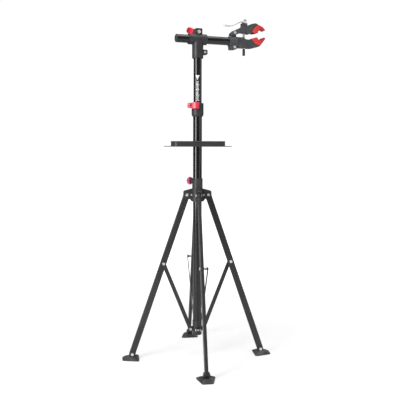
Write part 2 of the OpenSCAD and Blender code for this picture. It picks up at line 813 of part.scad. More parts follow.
// Forked at its hinge, solid at its boss and its nose
module upper_jaw() {
    cheek = lug_half + run_gap;
    color([0.24, 0.24, 0.25]) clamp_frame() difference() {
        union() {
            plate_y(-jaw_half, jaw_half) polygon(concat(
                [[8, 28], [26, 28], [36, 33], [62, 43.5], [92, 42], [104, 39]], upper_seat,
                [[135, 91], [118, 88.5], [104, 83], [92, 77], [66, 71], [56, 66], [18, 47], [8, 37]]
            ));
            plate_y(-13, 13) polygon([[66, 60], [93, 60], [93, boss_top - 2], [91, boss_top],
                [69, boss_top], [67, boss_top - 2]]);
        }
        translate([0, -cheek, 0]) cube([54, 2 * cheek, 100]);
        translate([hinge_x, 0, hinge_z]) bar_y(-jaw_half - 1, jaw_half + 1, pivot_r + pin_gap);
        plate_y(-rod_slot, rod_slot) polygon([
            [rod_x - rod_slot, 0], [rod_x + rod_slot + 12, 0],
            [rod_x + rod_slot + 0.5, rod_top], [rod_x - rod_slot, rod_top]
        ]);
        translate([rod_x, 0, 0]) bar_z(20, spring_high + 0.2, 8.5);
    }
}

module upper_pad() {
    color([0.9, 0.3, 0.3]) clamp_frame() plate_y(-jaw_half, jaw_half) polygon(concat(
        upper_seat, [[173, 75], [185, 63], [184, 57], [152, 68], [138, 44], [127, 41]]
    ));
}

module clamp_rod() {
    color("silver") clamp_frame() translate([rod_x, 0, 0])
        bar_z(rod_bottom, rod_top - pivot_r - seat_gap, rod_r);
}

module lever_pin() {
    color("silver") clamp_frame() translate([rod_x, 0, rod_top]) bar_y(-11, 11, pivot_r);
}

// Forked cam head and a curved handle that lies back over the jaw
module clamp_lever() {
    line = [[-8, 0], [-21, -6], [-45, -17], [-61, -23], [-77, -27.5], [-92, -27], [-109, -26]];
    half_t = 3.6;
    color([0.8, 0.8, 0.82]) clamp_frame() translate([rod_x, 0, rod_top]) difference() {
        union() {
            bar_y(-11, 11, 11);
            plate_y(-8, 8) polygon(concat(
                [for (p = line) p - [0, half_t]], [for (p = reversed(line)) p + [0, half_t]]
            ));
        }
        bar_y(-12, 12, pivot_r + pin_gap);
        translate([-10.5, -rod_slot, -12]) cube([22, 2 * rod_slot, 24]);
    }
}

module adjusting_nut() {
    color([0.12, 0.12, 0.13]) clamp_frame() translate([rod_x, 0, 0]) difference() {
        bar_z(rod_bottom - 2, -31.3, 6.5);
        bar_z(rod_bottom, 0, rod_r + pin_gap);
    }
}

// Coil between the jaws, as its outer shape
module clamp_spring() {
    color("silver") clamp_frame() translate([rod_x, 0, 0])
        tube_z(spring_low, spring_high, 7, rod_slot + 1);
}

lower_tube();
foot_bracket();
brace_pivot_bolts();
qr_collar();
qr_skewer();
qr_cam_pin();
guide_bush();
tool_tray();
tray_collar();
tray_screw();
hub_collar();
hub_spider();
hub_pivot_bolts();
hub_rivets();
hub_knob();
hub_knob_stud();
leg(1);  // leg_1
leg(2);  // leg_2
leg(3);  // leg_3
leg(4);  // leg_4
leg_hardware(1);  // leg_1_hardware
leg_hardware(2);  // leg_2_hardware
leg_hardware(3);  // leg_3_hardware
leg_hardware(4);  // leg_4_hardware
brace(1);  // brace_1
brace(2);  // brace_2
brace(3);  // brace_3
brace(4);  // brace_4
brace_nut(1);  // brace_1_nut
brace_nut(2);  // brace_2_nut
brace_nut(3);  // brace_3_nut
brace_nut(4);  // brace_4_nut
foot(1);  // foot_1
foot(2);  // foot_2
foot(3);  // foot_3
foot(4);  // foot_4
qr_lever();
slider_bush();
upper_tube();
head_casting();
head_lug_bolt();
head_skewer();
head_cam_pin();
head_lever();
boom_liner();
boom_tube();
boom_end_cap();
clamp_body();
lower_pad();
clamp_bolts();
clamp_washer();
upper_jaw();
upper_pad();
clamp_rod();
clamp_lever();
lever_pin();
adjusting_nut();
clamp_spring();
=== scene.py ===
"""Looks of a four-legged bicycle repair stand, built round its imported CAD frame.

Every length is in metres, in the frame's own axes: Z up along the mast, X along the boom.
"""

import json
import logging
from dataclasses import dataclass, field, replace
from enum import Enum

import bmesh
import bpy
import numpy as np
from mathutils import Euler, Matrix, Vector

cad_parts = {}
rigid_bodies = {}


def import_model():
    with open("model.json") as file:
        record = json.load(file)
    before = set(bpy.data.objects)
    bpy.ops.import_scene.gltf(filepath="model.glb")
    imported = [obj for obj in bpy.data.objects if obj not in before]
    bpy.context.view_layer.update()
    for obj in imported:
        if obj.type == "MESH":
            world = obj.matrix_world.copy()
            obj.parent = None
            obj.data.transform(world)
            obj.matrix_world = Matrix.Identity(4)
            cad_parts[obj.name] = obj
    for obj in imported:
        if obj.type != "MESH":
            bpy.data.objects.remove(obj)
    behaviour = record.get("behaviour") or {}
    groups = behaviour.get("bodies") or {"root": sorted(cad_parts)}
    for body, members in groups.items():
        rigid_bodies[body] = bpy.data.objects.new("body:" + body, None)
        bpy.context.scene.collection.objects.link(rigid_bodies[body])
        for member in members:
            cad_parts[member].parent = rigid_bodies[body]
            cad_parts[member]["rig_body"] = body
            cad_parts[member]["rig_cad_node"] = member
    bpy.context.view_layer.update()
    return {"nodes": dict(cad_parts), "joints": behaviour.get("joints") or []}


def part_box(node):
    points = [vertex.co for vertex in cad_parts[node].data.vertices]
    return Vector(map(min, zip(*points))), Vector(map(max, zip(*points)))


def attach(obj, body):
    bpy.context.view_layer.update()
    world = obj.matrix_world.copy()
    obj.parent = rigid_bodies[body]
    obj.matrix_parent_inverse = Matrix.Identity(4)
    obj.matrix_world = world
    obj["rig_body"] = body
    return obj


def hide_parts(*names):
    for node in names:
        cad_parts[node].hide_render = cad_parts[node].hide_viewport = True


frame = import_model()
LOG = logging.getLogger("stand")
Array = np.ndarray
Piece, Tree, Node, Socket = bpy.types.Object, bpy.types.NodeTree, bpy.types.Node, bpy.types.NodeSocket
TAU = 2.0 * np.pi
LEG_COUNT = 4
WHITE = 1.02
MARK_AZIMUTH = -1.93
# Point attribute with two masks: the leg paint on the spacers, and the band of painted shade round the pads'
# faces.
PAINTED = "painted"
# Point attribute of the pads' painted shade: how far a point lies along the tip beyond the notch.
OUTER = "outer"
DUST_COLOUR = (0.42, 0.41, 0.39, 1)
MARK_COLOUR = (0.78, 0.78, 0.78, 1)
# Painted shade on the pads: the first colour darkens the tip beyond the notch, the second lays a near-black
# band round the face on the jaw side.
PAD_TIP_COLOUR = (0.46, 0.025, 0.06, 1)
PAD_BACK_COLOUR = (0.02, 0.015, 0.015, 1)


class Axis(Enum):
    """Direction that a turned or extruded piece is drawn along, as the order of its local columns."""

    X = (2, 0, 1)
    Y = (1, 2, 0)
    Z = (0, 1, 2)


# Shapes ------------------------------------------------------------------------------------


def box_of(node: str) -> tuple[Array, Array]:
    """Returns the lowest and the highest corner of a CAD node."""
    low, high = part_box(node)
    return np.array(low), np.array(high)


def centre_of(node: str) -> Array:
    """Returns the middle of a CAD node's box."""
    low, high = box_of(node)
    return (low + high) / 2


def joint_place(name: str) -> Array:
    """Returns a joint's place at rest."""
    return np.array([joint for joint in frame["joints"] if joint["name"] == name][0]["pos_m"])


def azimuth_of(place: Array) -> float:
    """Returns the direction of a place round the mast."""
    return float(np.arctan2(place[1], place[0]))


def along(points: Array, axis: Axis, origin: Array) -> Array:
    """Turns points drawn along local Z to lie along an axis.

    Args:
        points: (..., 3) local points.
        axis: direction that local Z takes.
        origin: place of the local origin.

    Returns:
        The points in the frame's axes.
    """
    return points[..., list(axis.value)] + np.asarray(origin)


def turned(points: Array, angle: float, centre: Array | tuple = (0, 0, 0)) -> Array:
    """Turns points about a vertical line.

    Args:
        points: (..., 3) points.
        angle: angle in radians, anticlockwise from above.
        centre: a point on the line.

    Returns:
        The turned points.
    """
    c, s = np.cos(angle), np.sin(angle)
    spin = np.array([[c, s, 0], [-s, c, 0], [0, 0, 1]])
    return (points - np.asarray(centre)) @ spin + np.asarray(centre)


def grid_faces(rows: int, columns: int, loop_rows: bool) -> Array:
    """Returns the quads of a grid of points, (n, 4), closed round its columns, and its rows if asked."""
    r = np.arange(rows if loop_rows else rows - 1)[:, None]
    c = np.arange(columns)[None, :]
    r1, c1 = (r + 1) % rows, (c + 1) % columns
    quads = np.stack([r * columns + c, r * columns + c1, r1 * columns + c1, r1 * columns + c], -1)
    return quads.reshape(-1, 4)


@dataclass
class Shell:
    """Points and faces of a mesh in the making."""

    points: Array
    faces: list


def grid_shell(points: Array, loop_rows: bool = False, caps: bool = False) -> Shell:
    """Makes a shell of a (rows, columns, 3) grid of points, whose last column joins the first.

    Args:
        points: the grid.
        loop_rows: whether the last row joins the first.
        caps: whether the first and the last row are closed with one face each.

    Returns:
        The shell.
    """
    rows, columns = points.shape[:2]
    faces = [tuple(f) for f in grid_faces(rows, columns, loop_rows).tolist()]
    if caps:
        faces += [tuple(range(columns)), tuple((rows - 1) * columns + i for i in range(columns))]
    return Shell(points.reshape(-1, 3), faces)


def lathe(profile: Array, axis: Axis, origin: Array, segments: int = 96, loop: bool = True) -> Shell:
    """Surface of revolution: (r cos v, r sin v, z) for a profile (r, z) and v from 0 to a turn.

    Args:
        profile: (n, 2) radii and heights.
        axis: direction of the axis.
        origin: place of height 0 on the axis.
        segments: steps round the axis.
        loop: whether the profile is a closed ring, as on a tube.

    Returns:
        The shell.
    """
    v = np.arange(segments) * TAU / segments
    r, z = np.asarray(profile, float).T
    local = np.stack([r[:, None] * np.cos(v), r[:, None] * np.sin(v), z[:, None] + 0 * v], -1)
    return grid_shell(along(local, axis, origin), loop_rows=loop)


def round_outline(corners: Array, radii: Array | float, steps: int = 6) -> Array:
    """Rounds each corner of a closed outline with an arc tangent to both its sides.

    Args:
        corners: (n, 2) corners in order.
        radii: radius at each corner, or one for all.
        steps: points on each arc.

    Returns:
        (n * steps, 2) points.
    """
    p = np.asarray(corners, float)
    back, ahead = np.roll(p, 1, 0) - p, np.roll(p, -1, 0) - p
    size_b, size_a = np.linalg.norm(back, axis=1), np.linalg.norm(ahead, axis=1)
    u, w = back / size_b[:, None], ahead / size_a[:, None]
    cosine = np.clip((u * w).sum(1), -0.9999, 0.9999)
    tangent = np.sqrt((1 - cosine) / (1 + cosine))
    radius = np.minimum(np.broadcast_to(radii, len(p)), 0.49 * np.minimum(size_a, size_b) * tangent)
    reach = radius / tangent
    middle = (u + w) / np.linalg.norm(u + w, axis=1)[:, None]
    centre = p + middle * (radius / np.sqrt((1 - cosine) / 2))[:, None]
    start, end = p + u * reach[:, None] - centre, p + w * reach[:, None] - centre
    a0 = np.arctan2(start[:, 1], start[:, 0])
    sweep = np.arctan2(start[:, 0] * end[:, 1] - start[:, 1] * end[:, 0], (start * end).sum(1))
    t = a0[:, None] + sweep[:, None] * np.linspace(0, 1, steps)
    arc = centre[:, None] + radius[:, None, None] * np.stack([np.cos(t), np.sin(t)], -1)
    return arc.reshape(-1, 2)


def smooth_open(points: Array, steps: int = 8) -> Array:
    """Catmull-Rom curve through points from the first to the last."""
    p = np.asarray(points, float)
    padded = np.vstack([2 * p[0] - p[1], p, 2 * p[-1] - p[-2]])
    a, b, c, d = padded[:-3], padded[1:-2], padded[2:-1], padded[3:]
    t = (np.arange(steps) / steps)[:, None, None]
    curve = 2 * b + (c - a) * t + (2 * a - 5 * b + 4 * c - d) * t**2 + (3 * b - a - 3 * c + d) * t**3
    curve *= 0.5
    return np.vstack([curve.transpose(1, 0, 2).reshape(-1, p.shape[1]), p[-1:]])


def inset(outline: Array, distance: Array) -> Array:
    """Moves a closed anticlockwise outline inwards, each point along the mean of its sides' normals.

    Args:
        outline: (n, 2) points.
        distance: (m,) distances.

    Returns:
        (m, n, 2) outlines.
    """
    side = np.roll(outline, -1, 0) - outline
    side /= np.maximum(np.linalg.norm(side, axis=1), 1e-12)[:, None]
    normal = np.stack([-side[:, 1], side[:, 0]], 1)
    mean = normal + np.roll(normal, 1, 0)
    mean /= np.maximum((mean * normal).sum(1), 0.35)[:, None]
    return outline + np.asarray(distance)[:, None, None] * mean


def slab(outline: Array, low: float, high: float, fillet: float, steps: int = 4) -> Array:
    """Rings of an extruded outline whose rims are quarter circles of a fillet.

    Args:
        outline: (n, 2) anticlockwise points.
        low: lower end.
        high: upper end.
        fillet: radius of the rims.
        steps: steps on each quarter circle.

    Returns:
        (rings, n, 3) local points, along local Z.
    """
    t = np.linspace(0, np.pi / 2, steps + 1)
    depth = fillet * (1 - np.sin(t))
    rise = fillet * (1 - np.cos(t))
    flat = inset(outline, np.concatenate([depth, depth[::-1]]))
    z = np.concatenate([low + rise, high - rise[::-1]])
    return np.concatenate([flat, np.broadcast_to(z[:, None, None], flat.shape[:2] + (1,))], -1)


def tube_along(path: Array, section: Array, up: Array) -> Array:
    """Carries a section along a path: path + x * side + y * normal at each point.

    Args:
        path: (n, 3) centre line.
        section: (m, 2) section, or (n, m, 2) where it changes on the way.
        up: (3,) direction across the path that the section's second axis keeps near.

    Returns:
        (n, m, 3) points.
    """
    tangent = np.gradient(path, axis=0)
    tangent /= np.linalg.norm(tangent, axis=1)[:, None]
    side = np.cross(tangent, up)
    side /= np.linalg.norm(side, axis=1)[:, None]
    normal = np.cross(side, tangent)
    shape = np.broadcast_to(section, (len(path),) + np.shape(section)[-2:])
    return path[:, None] + shape[..., :1] * side[:, None] + shape[..., 1:] * normal[:, None]


def make(name: str, shell: Shell, sharp: float = 40.0) -> Piece:
    """Makes a finished object: doubles merged, normals outwards, smooth below an angle.

    Args:
        name: name of the piece.
        shell: its points and faces.
        sharp: angle in degrees above which an edge stays sharp.

    Returns:
        The object, at the origin.
    """
    mesh = bpy.data.meshes.new(name)
    mesh.from_pydata(shell.points.tolist(), [], shell.faces)
    work = bmesh.new()
    work.from_mesh(mesh)
    bmesh.ops.remove_doubles(work, verts=work.verts, dist=1e-6)
    bmesh.ops.recalc_face_normals(work, faces=work.faces)
    work.to_mesh(mesh)
    work.free()
    return dressed(name, mesh, sharp)


def dressed(name: str, mesh: bpy.types.Mesh, sharp: float, bevel: float = 0.0) -> Piece:
    """Links a mesh as an object with smooth faces.

    Args:
        name: name of the piece.
        mesh: its mesh.
        sharp: angle in degrees above which an edge stays sharp.
        bevel: width of a live bevel on the sharp edges, or 0 for none.

    Returns:
        The object.
    """
    mesh.shade_smooth()
    mesh.set_sharp_from_angle(angle=np.radians(sharp))
    piece = bpy.data.objects.new(name, mesh)
    bpy.context.scene.collection.objects.link(piece)
    if bevel:
        round_off = piece.modifiers.new("Rounded", "BEVEL")
        round_off.width = bevel
        round_off.segments = 3
        round_off.limit_method = "ANGLE"
        round_off.angle_limit = np.radians(32)
        round_off.harden_normals = True
        round_off.use_clamp_overlap = True
    weigh = piece.modifiers.new("Flat faces", "WEIGHTED_NORMAL")
    weigh.keep_sharp = True
    return piece


def softened(node: str, name: str, bevel: float) -> Piece:
    """Copies a CAD node's mesh, merges it, and rounds its edges, as a casting's are.

    Args:
        node: CAD node that the copy stands for.
        name: name of the new piece.
        bevel: width of the rounded edges.

    Returns:
        The new piece, which replaces the node.
    """
    mesh = frame["nodes"][node].data.copy()
    mesh.name = name
    mesh.materials.clear()
    work = bmesh.new()
    work.from_mesh(mesh)
    bmesh.ops.remove_doubles(work, verts=work.verts, dist=2e-6)
    bmesh.ops.dissolve_limit(work, angle_limit=np.radians(0.4), verts=work.verts, edges=work.edges)
    work.to_mesh(mesh)
    work.free()
    if "custom_normal" in mesh.attributes:
        mesh.attributes.remove(mesh.attributes["custom_normal"])
    return seated(dressed(name, mesh, 32, bevel), node)


def set_layer(piece: Piece, name: str, values: Array) -> None:
    """Stores one number on each point of a piece, for its material to read."""
    layer = piece.data.attributes.new(name, "FLOAT", "POINT")
    layer.data.foreach_set("value", np.asarray(values, np.float32).ravel())


def seated(piece: Piece, *nodes: str) -> Piece:
    """Rides a piece on the body of the CAD nodes that it replaces."""
    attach(piece, frame["nodes"][nodes[0]]["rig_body"])
    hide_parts(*nodes)
    LOG.info("%s stands for %s", piece.name, ", ".join(nodes))
    return piece


def applied_cut(piece: Piece, cutter: Shell) -> None:
    """Cuts a closed shell out of a piece with a boolean, and applies it at once.

    Args:
        piece: the piece.
        cutter: the shell to cut out.
    """
    tool = make("cutter", cutter)
    tool.modifiers.clear()
    cut = piece.modifiers.new("Cut", "BOOLEAN")
    cut.operation = "DIFFERENCE"
    cut.solver = "EXACT"
    cut.object = tool
    while piece.modifiers.find("Cut") > 0:
        piece.modifiers.move(piece.modifiers.find("Cut"), 0)
    kept = [m for m in piece.modifiers if m.name != "Cut"]
    for modifier in kept:
        modifier.show_viewport = False
    bpy.context.view_layer.update()
    shape = bpy.data.meshes.new_from_object(piece.evaluated_get(bpy.context.evaluated_depsgraph_get()))
    piece.modifiers.remove(cut)
    for modifier in kept:
        modifier.show_viewport = True
    piece.data = shape
    shape.set_sharp_from_angle(angle=np.radians(40))
    bpy.data.objects.remove(tool)


def block(low: Array, high: Array) -> Shell:
    """Box between two corners."""
    (x0, y0, z0), (x1, y1, z1) = low, high
    ring = np.array([[x0, y0], [x1, y0], [x1, y1], [x0, y1]])
    rows = [np.column_stack([ring, np.full(4, z)]) for z in (z0, z1)]
    return grid_shell(np.array(rows), caps=True)


def drum(centre: Array, axis: Axis, radius: float, half: float, segments: int = 48) -> Shell:
    """Plain cylinder about a centre, as a cutter or a core."""
    profile = [[0, -half], [radius, -half], [radius, half], [0, half]]
    return lathe(np.array(profile), axis, centre, segments, loop=False)


def tube_profile(radius: float, wall: float, low: float, high: float, lip: float = 0.0004) -> Array:
    """Closed ring section of a tube, with rolled rims of radius lip."""
    inner = radius - wall
    corners = np.array([[inner, low], [radius, low], [radius, high], [inner, high]])
    return round_outline(corners, lip, 4)


def solid_profile(corners: list, fillet: float, steps: int = 5) -> Array:
    """Open profile from axis to axis with its corners rounded, for a solid turned piece.

    Args:
        corners: (r, z) corners, of which the first and the last lie on the axis.
        fillet: radius at the corners.
        steps: points on each arc.

    Returns:
        (n, 2) profile.
    """
    p = np.array(corners, float)
    mirrored = np.vstack([p, (p * [-1, 1])[::-1][1:-1]])
    radii = np.full(len(mirrored), fillet)
    curve = round_outline(mirrored, radii, steps)
    keep = curve[steps:steps * (len(p) - 1)]
    return np.vstack([[[0, p[0, 1]]], keep, [[0, p[-1, 1]]]])


# Shader node groups -------------------------------------------------------------------------


class Graph:
    """Short way to place nodes and links in a node tree."""

    def __init__(self, tree: Tree) -> None:
        """Keeps the tree."""
        self.tree = tree

    def node(self, kind: str, **settings: object) -> Node:
        """Adds a node; a setting whose name starts with in_ is the value of that input.

        Args:
            kind: Blender's node type.
            **settings: attributes, or inputs by index as in_0 or by name as in_Scale.

        Returns:
            The node.
        """
        made = self.tree.nodes.new(kind)
        for key, value in settings.items():
            if key.startswith("in_"):
                socket = key[3:].replace("_", " ")
                target = made.inputs[int(socket) if socket.isdigit() else socket]
                if isinstance(value, Socket):
                    self.tree.links.new(value, target)
                else:
                    target.default_value = value
            else:
                setattr(made, key, value)
        return made

    def math(self, operation: str, a: object, b: object = 0.0, clamp: bool = False) -> Socket:
        """Returns the result of a Math node of two values or sockets."""
        return self.node("ShaderNodeMath", operation=operation, use_clamp=clamp, in_0=a, in_1=b).outputs[0]

    def scaled(self, value: object, factor: float, offset: float) -> Socket:
        """Returns value * factor + offset."""
        sum_of = self.node("ShaderNodeMath", operation="MULTIPLY_ADD", in_0=value, in_1=factor, in_2=offset)
        return sum_of.outputs[0]

    def ramp(self, value: object, low: float, high: float) -> Socket:
        """Returns a value's smooth step from low to high."""
        step = self.node("ShaderNodeMapRange", interpolation_type="SMOOTHSTEP", in_Value=value)
        fill(step, From_Min=low, From_Max=high)
        return step.outputs["Result"]

    def mix(self, factor: object, a: object, b: object) -> Socket:
        """Returns a mix of two colours."""
        return self.node("ShaderNodeMix", data_type="RGBA", in_0=factor, in_6=a, in_7=b).outputs[2]


def fill(node: Node, **values: object) -> None:
    """Sets a node's inputs by name, with _ for each space."""
    for key, value in values.items():
        node.inputs[key.replace("_", " ")].default_value = value


def group(name: str, inputs: dict, outputs: dict) -> tuple[Tree, Graph, dict, Node]:
    """Starts a shader node group.

    Args:
        name: the group's name.
        inputs: name to default value of each float input.
        outputs: name to socket type of each output.

    Returns:
        The tree, its graph, the input sockets by name, and the group's output node.
    """
    tree = bpy.data.node_groups.new(name, "ShaderNodeTree")
    for key, value in inputs.items():
        socket = tree.interface.new_socket(name=key, in_out="INPUT", socket_type="NodeSocketFloat")
        socket.default_value = value
    for key, kind in outputs.items():
        tree.interface.new_socket(name=key, in_out="OUTPUT", socket_type=kind)
    source = tree.nodes.new("NodeGroupInput")
    sink = tree.nodes.new("NodeGroupOutput")
    return tree, Graph(tree), {key: source.outputs[key] for key in inputs}, sink


def grain_group() -> Tree:
    """Two octaves of fine noise: a height for bump and a slow variation for colour."""
    tree, g, given, sink = group(
        "Grain", {"Scale": 900.0, "Coarse": 14.0}, {"Height": "NodeSocketFloat", "Cloud": "NodeSocketFloat"}
    )
    place = g.node("ShaderNodeTexCoord").outputs["Object"]
    fine = g.node("ShaderNodeTexNoise", in_Vector=place, in_Scale=given["Scale"], in_Detail=3.0)
    pits = g.node("ShaderNodeTexVoronoi", in_Vector=place, in_Scale=g.math("MULTIPLY", given["Scale"], 0.7))
    height = g.math("ADD", fine.outputs[0], g.math("MULTIPLY", pits.outputs[0], 0.5))
    cloud = g.node("ShaderNodeTexNoise", in_Vector=place, in_Scale=given["Coarse"], in_Detail=4.0)
    tree.links.new(height, sink.inputs["Height"])
    tree.links.new(cloud.outputs[0], sink.inputs["Cloud"])
    return tree


def edge_group() -> Tree:
    """Mask of worn edges: where a normal rounded over Radius leaves the face's own, broken by noise."""
    tree, g, given, sink = group(
        "Edge wear", {"Radius": 0.0008, "Amount": 0.5},
        {"Mask": "NodeSocketFloat", "Normal": "NodeSocketVector"},
    )
    rounded = g.node("ShaderNodeBevel", samples=4, in_Radius=given["Radius"])
    own = g.node("ShaderNodeNewGeometry").outputs["Normal"]
    dot = g.node("ShaderNodeVectorMath", operation="DOT_PRODUCT", in_0=rounded.outputs[0], in_1=own)
    turned_away = g.ramp(g.math("SUBTRACT", 1.0, dot.outputs["Value"]), 0.02, 0.25)
    place = g.node("ShaderNodeTexCoord").outputs["Object"]
    patch = g.node("ShaderNodeTexNoise", in_Vector=place, in_Scale=120.0, in_Detail=5.0)
    broken = g.ramp(patch.outputs[0], 0.42, 0.62)
    mask = g.math("MULTIPLY", g.math("MULTIPLY", turned_away, broken), given["Amount"], clamp=True)
    tree.links.new(mask, sink.inputs["Mask"])
    tree.links.new(rounded.outputs[0], sink.inputs["Normal"])
    return tree


def dust_group() -> Tree:
    """Mask of settled dust: faces that look up, in soft noise patches."""
    tree, g, given, sink = group("Dust", {"Amount": 0.3, "Scale": 26.0}, {"Mask": "NodeSocketFloat"})
    coordinates = g.node("ShaderNodeTexCoord")
    up = g.node("ShaderNodeSeparateXYZ", in_0=coordinates.outputs["Normal"]).outputs["Z"]
    patch = g.node("ShaderNodeTexNoise", in_Vector=coordinates.outputs["Object"], in_Scale=given["Scale"])
    fill(patch, Detail=6.0)
    mask = g.math("MULTIPLY", g.ramp(up, 0.2, 1.0), g.ramp(patch.outputs[0], 0.35, 0.75))
    tree.links.new(g.math("MULTIPLY", mask, given["Amount"], clamp=True), sink.inputs["Mask"])
    return tree


def scratch_group() -> Tree:
    """Mask of hairline scratches: thin bands of a wave bent by noise, kept only in patches."""
    tree, g, given, sink = group("Scratches", {"Scale": 40.0, "Amount": 0.3}, {"Mask": "NodeSocketFloat"})
    place = g.node("ShaderNodeTexCoord").outputs["Object"]
    bent = g.node("ShaderNodeTexWave", wave_type="BANDS", bands_direction="DIAGONAL", in_Vector=place,
                  in_Scale=given["Scale"], in_Distortion=14.0, in_Detail=3.0)
    patch = g.node("ShaderNodeTexNoise", in_Vector=place, in_Scale=9.0, in_Detail=2.0)
    mask = g.math("MULTIPLY", g.ramp(bent.outputs["Fac"], 0.985, 1.0), g.ramp(patch.outputs[0], 0.52, 0.66))
    tree.links.new(g.math("MULTIPLY", mask, given["Amount"], clamp=True), sink.inputs["Mask"])
    return tree


GROUPS: dict[str, Tree] = {}


def shared(name: str) -> Tree:
    """Returns a shared group by name, built on first use."""
    makers = {"Grain": grain_group, "Edge wear": edge_group, "Dust": dust_group, "Scratches": scratch_group}
    if name not in GROUPS:
        GROUPS[name] = makers[name]()
    return GROUPS[name]


# Finishes -----------------------------------------------------------------------------------


class Pattern(Enum):
    """What a finish adds over its base colour."""

    NONE = "none"
    SCALE_MARKS = "scale marks"
    BRUSHED = "brushed"
    PART_PAINTED = "part painted"
    # painted shade on the pads: a darker tip and a near-black band round the face on the jaw side
    BACKED = "backed"


@dataclass(frozen=True)
class Finish:
    """One procedural material, with constants on the shader's own sockets."""

    slot: str
    colour: tuple[float, float, float]
    roughness: float
    metallic: float = 0.0
    coat: float = 0.0
    coat_roughness: float = 0.08
    specular: float = 0.5
    grain_scale: float = 900.0
    grain_depth: float = 0.00002
    wear: float = 0.3
    wear_colour: tuple[float, float, float] = (0.3, 0.3, 0.31)
    dust: float = 0.15
    scratches: float = 0.15
    edge_radius: float = 0.0006
    pattern: Pattern = Pattern.NONE

    def material(self, name: str) -> bpy.types.Material:
        """Builds the material.

        Args:
            name: the material's name.

        Returns:
            The material.
        """
        made = bpy.data.materials.new(name)
        made.use_nodes = True
        tree = made.node_tree
        shader = tree.nodes["Principled BSDF"]
        fill(shader, Metallic=self.metallic, Coat_Weight=self.coat, Coat_Roughness=self.coat_roughness,
             Specular_IOR_Level=self.specular)
        g = Graph(tree)
        grain = g.node("ShaderNodeGroup", node_tree=shared("Grain"), in_Scale=self.grain_scale)
        edge = g.node("ShaderNodeGroup", node_tree=shared("Edge wear"), in_Radius=self.edge_radius,
                      in_Amount=self.wear)
        dust = g.node("ShaderNodeGroup", node_tree=shared("Dust"), in_Amount=self.dust)
        scratch = g.node("ShaderNodeGroup", node_tree=shared("Scratches"), in_Amount=self.scratches)
        dark = tuple(0.82 * c for c in self.colour) + (1,)
        light = tuple(min(1.0, 1.15 * c + 0.002) for c in self.colour) + (1,)
        base = g.mix(g.ramp(grain.outputs["Cloud"], 0.3, 0.7), dark, light)
        base = self.patterned(g, base)
        base = g.mix(edge.outputs["Mask"], base, self.wear_colour + (1,))
        base = g.mix(dust.outputs["Mask"], base, DUST_COLOUR)
        tree.links.new(base, shader.inputs["Base Color"])
        rough = g.scaled(grain.outputs["Cloud"], 0.12, self.roughness - 0.06)
        rough = g.math("ADD", rough, g.math("MULTIPLY", scratch.outputs["Mask"], 0.35))
        rough = g.math("ADD", rough, g.math("MULTIPLY", dust.outputs["Mask"], 0.4), clamp=True)
        tree.links.new(rough, shader.inputs["Roughness"])
        height = g.math("SUBTRACT", grain.outputs["Height"], scratch.outputs["Mask"])
        bump = g.node("ShaderNodeBump", in_Height=height, in_Normal=edge.outputs["Normal"],
                      in_Distance=self.grain_depth, in_Strength=0.6)
        tree.links.new(bump.outputs[0], shader.inputs["Normal"])
        return made

    def patterned(self, g: Graph, base: Socket) -> Socket:
        """Adds the finish's pattern to its base colour.

        Args:
            g: the material's graph.
            base: the colour so far.

        Returns:
            The colour with the pattern.
        """
        if self.pattern is Pattern.NONE:
            return base
        if self.pattern is Pattern.PART_PAINTED:
            mask = g.node("ShaderNodeAttribute", attribute_name=PAINTED).outputs["Fac"]
            return g.mix(mask, base, FINISHES["leg_paint"].colour + (1,))
        # Painted shade on the pads: the tip beyond the notch darker, and a near-black band round the face on
        # the jaw side.
        if self.pattern is Pattern.BACKED:
            outer = g.node("ShaderNodeAttribute", attribute_name=OUTER).outputs["Fac"]
            mask = g.node("ShaderNodeAttribute", attribute_name=PAINTED).outputs["Fac"]
            base = g.mix(outer, base, PAD_TIP_COLOUR)
            return g.mix(g.ramp(mask, 0.25, 0.8), base, PAD_BACK_COLOUR)
        place = g.node("ShaderNodeTexCoord").outputs["Object"]
        axes = g.node("ShaderNodeSeparateXYZ", in_0=place)
        if self.pattern is Pattern.BRUSHED:
            drawn_out = g.node("ShaderNodeMapping", in_Vector=place, in_Scale=(900, 900, 60)).outputs[0]
            streak = g.node("ShaderNodeTexNoise", in_Vector=drawn_out, in_Scale=1.0, in_Detail=2.0)
            tint = tuple(0.72 * c for c in self.colour) + (1,)
            return g.mix(g.ramp(streak.outputs[0], 0.35, 0.7), tint, base)
        return marked(g, base, axes)


def marked(g: Graph, base: Socket, axes: Node) -> Socket:
    """Adds a plain height scale to the upper tube: bars a few millimetres apart, under a pointer.

    A bar shows where the fraction of (z - low) / pitch is small and the azimuth is within a half
    width, which is wider on every fourth bar. The pointer's half width grows with height.

    Args:
        g: the material's graph.
        base: the colour so far.
        axes: node that separates the object coordinates.

    Returns:
        The colour with the scale.
    """
    x, y, z = axes.outputs
    low, high, top, pitch = 1.247, 1.338, 1.366, 0.0062
    off = g.math("ABSOLUTE", g.math("SUBTRACT", g.math("ARCTAN2", y, x), MARK_AZIMUTH))
    up = g.math("SUBTRACT", z, low)
    bar = g.math("LESS_THAN", g.math("FRACT", g.math("DIVIDE", up, pitch)), 0.58)
    fourth = g.math("LESS_THAN", g.math("FRACT", g.math("DIVIDE", up, 4 * pitch)), 0.25)
    width = g.scaled(fourth, 0.14, 0.24)
    bars = g.math("MULTIPLY", bar, g.math("LESS_THAN", off, width))
    bars = g.math("MULTIPLY", bars, g.math("GREATER_THAN", z, low))
    bars = g.math("MULTIPLY", bars, g.math("LESS_THAN", z, high))
    rise = g.math("SUBTRACT", z, high + 0.005)
    pointer = g.math("LESS_THAN", off, g.math("MULTIPLY", rise, 22.0))
    pointer = g.math("MULTIPLY", pointer, g.math("LESS_THAN", z, top))
    return g.mix(g.math("MAXIMUM", bars, pointer), base, MARK_COLOUR)


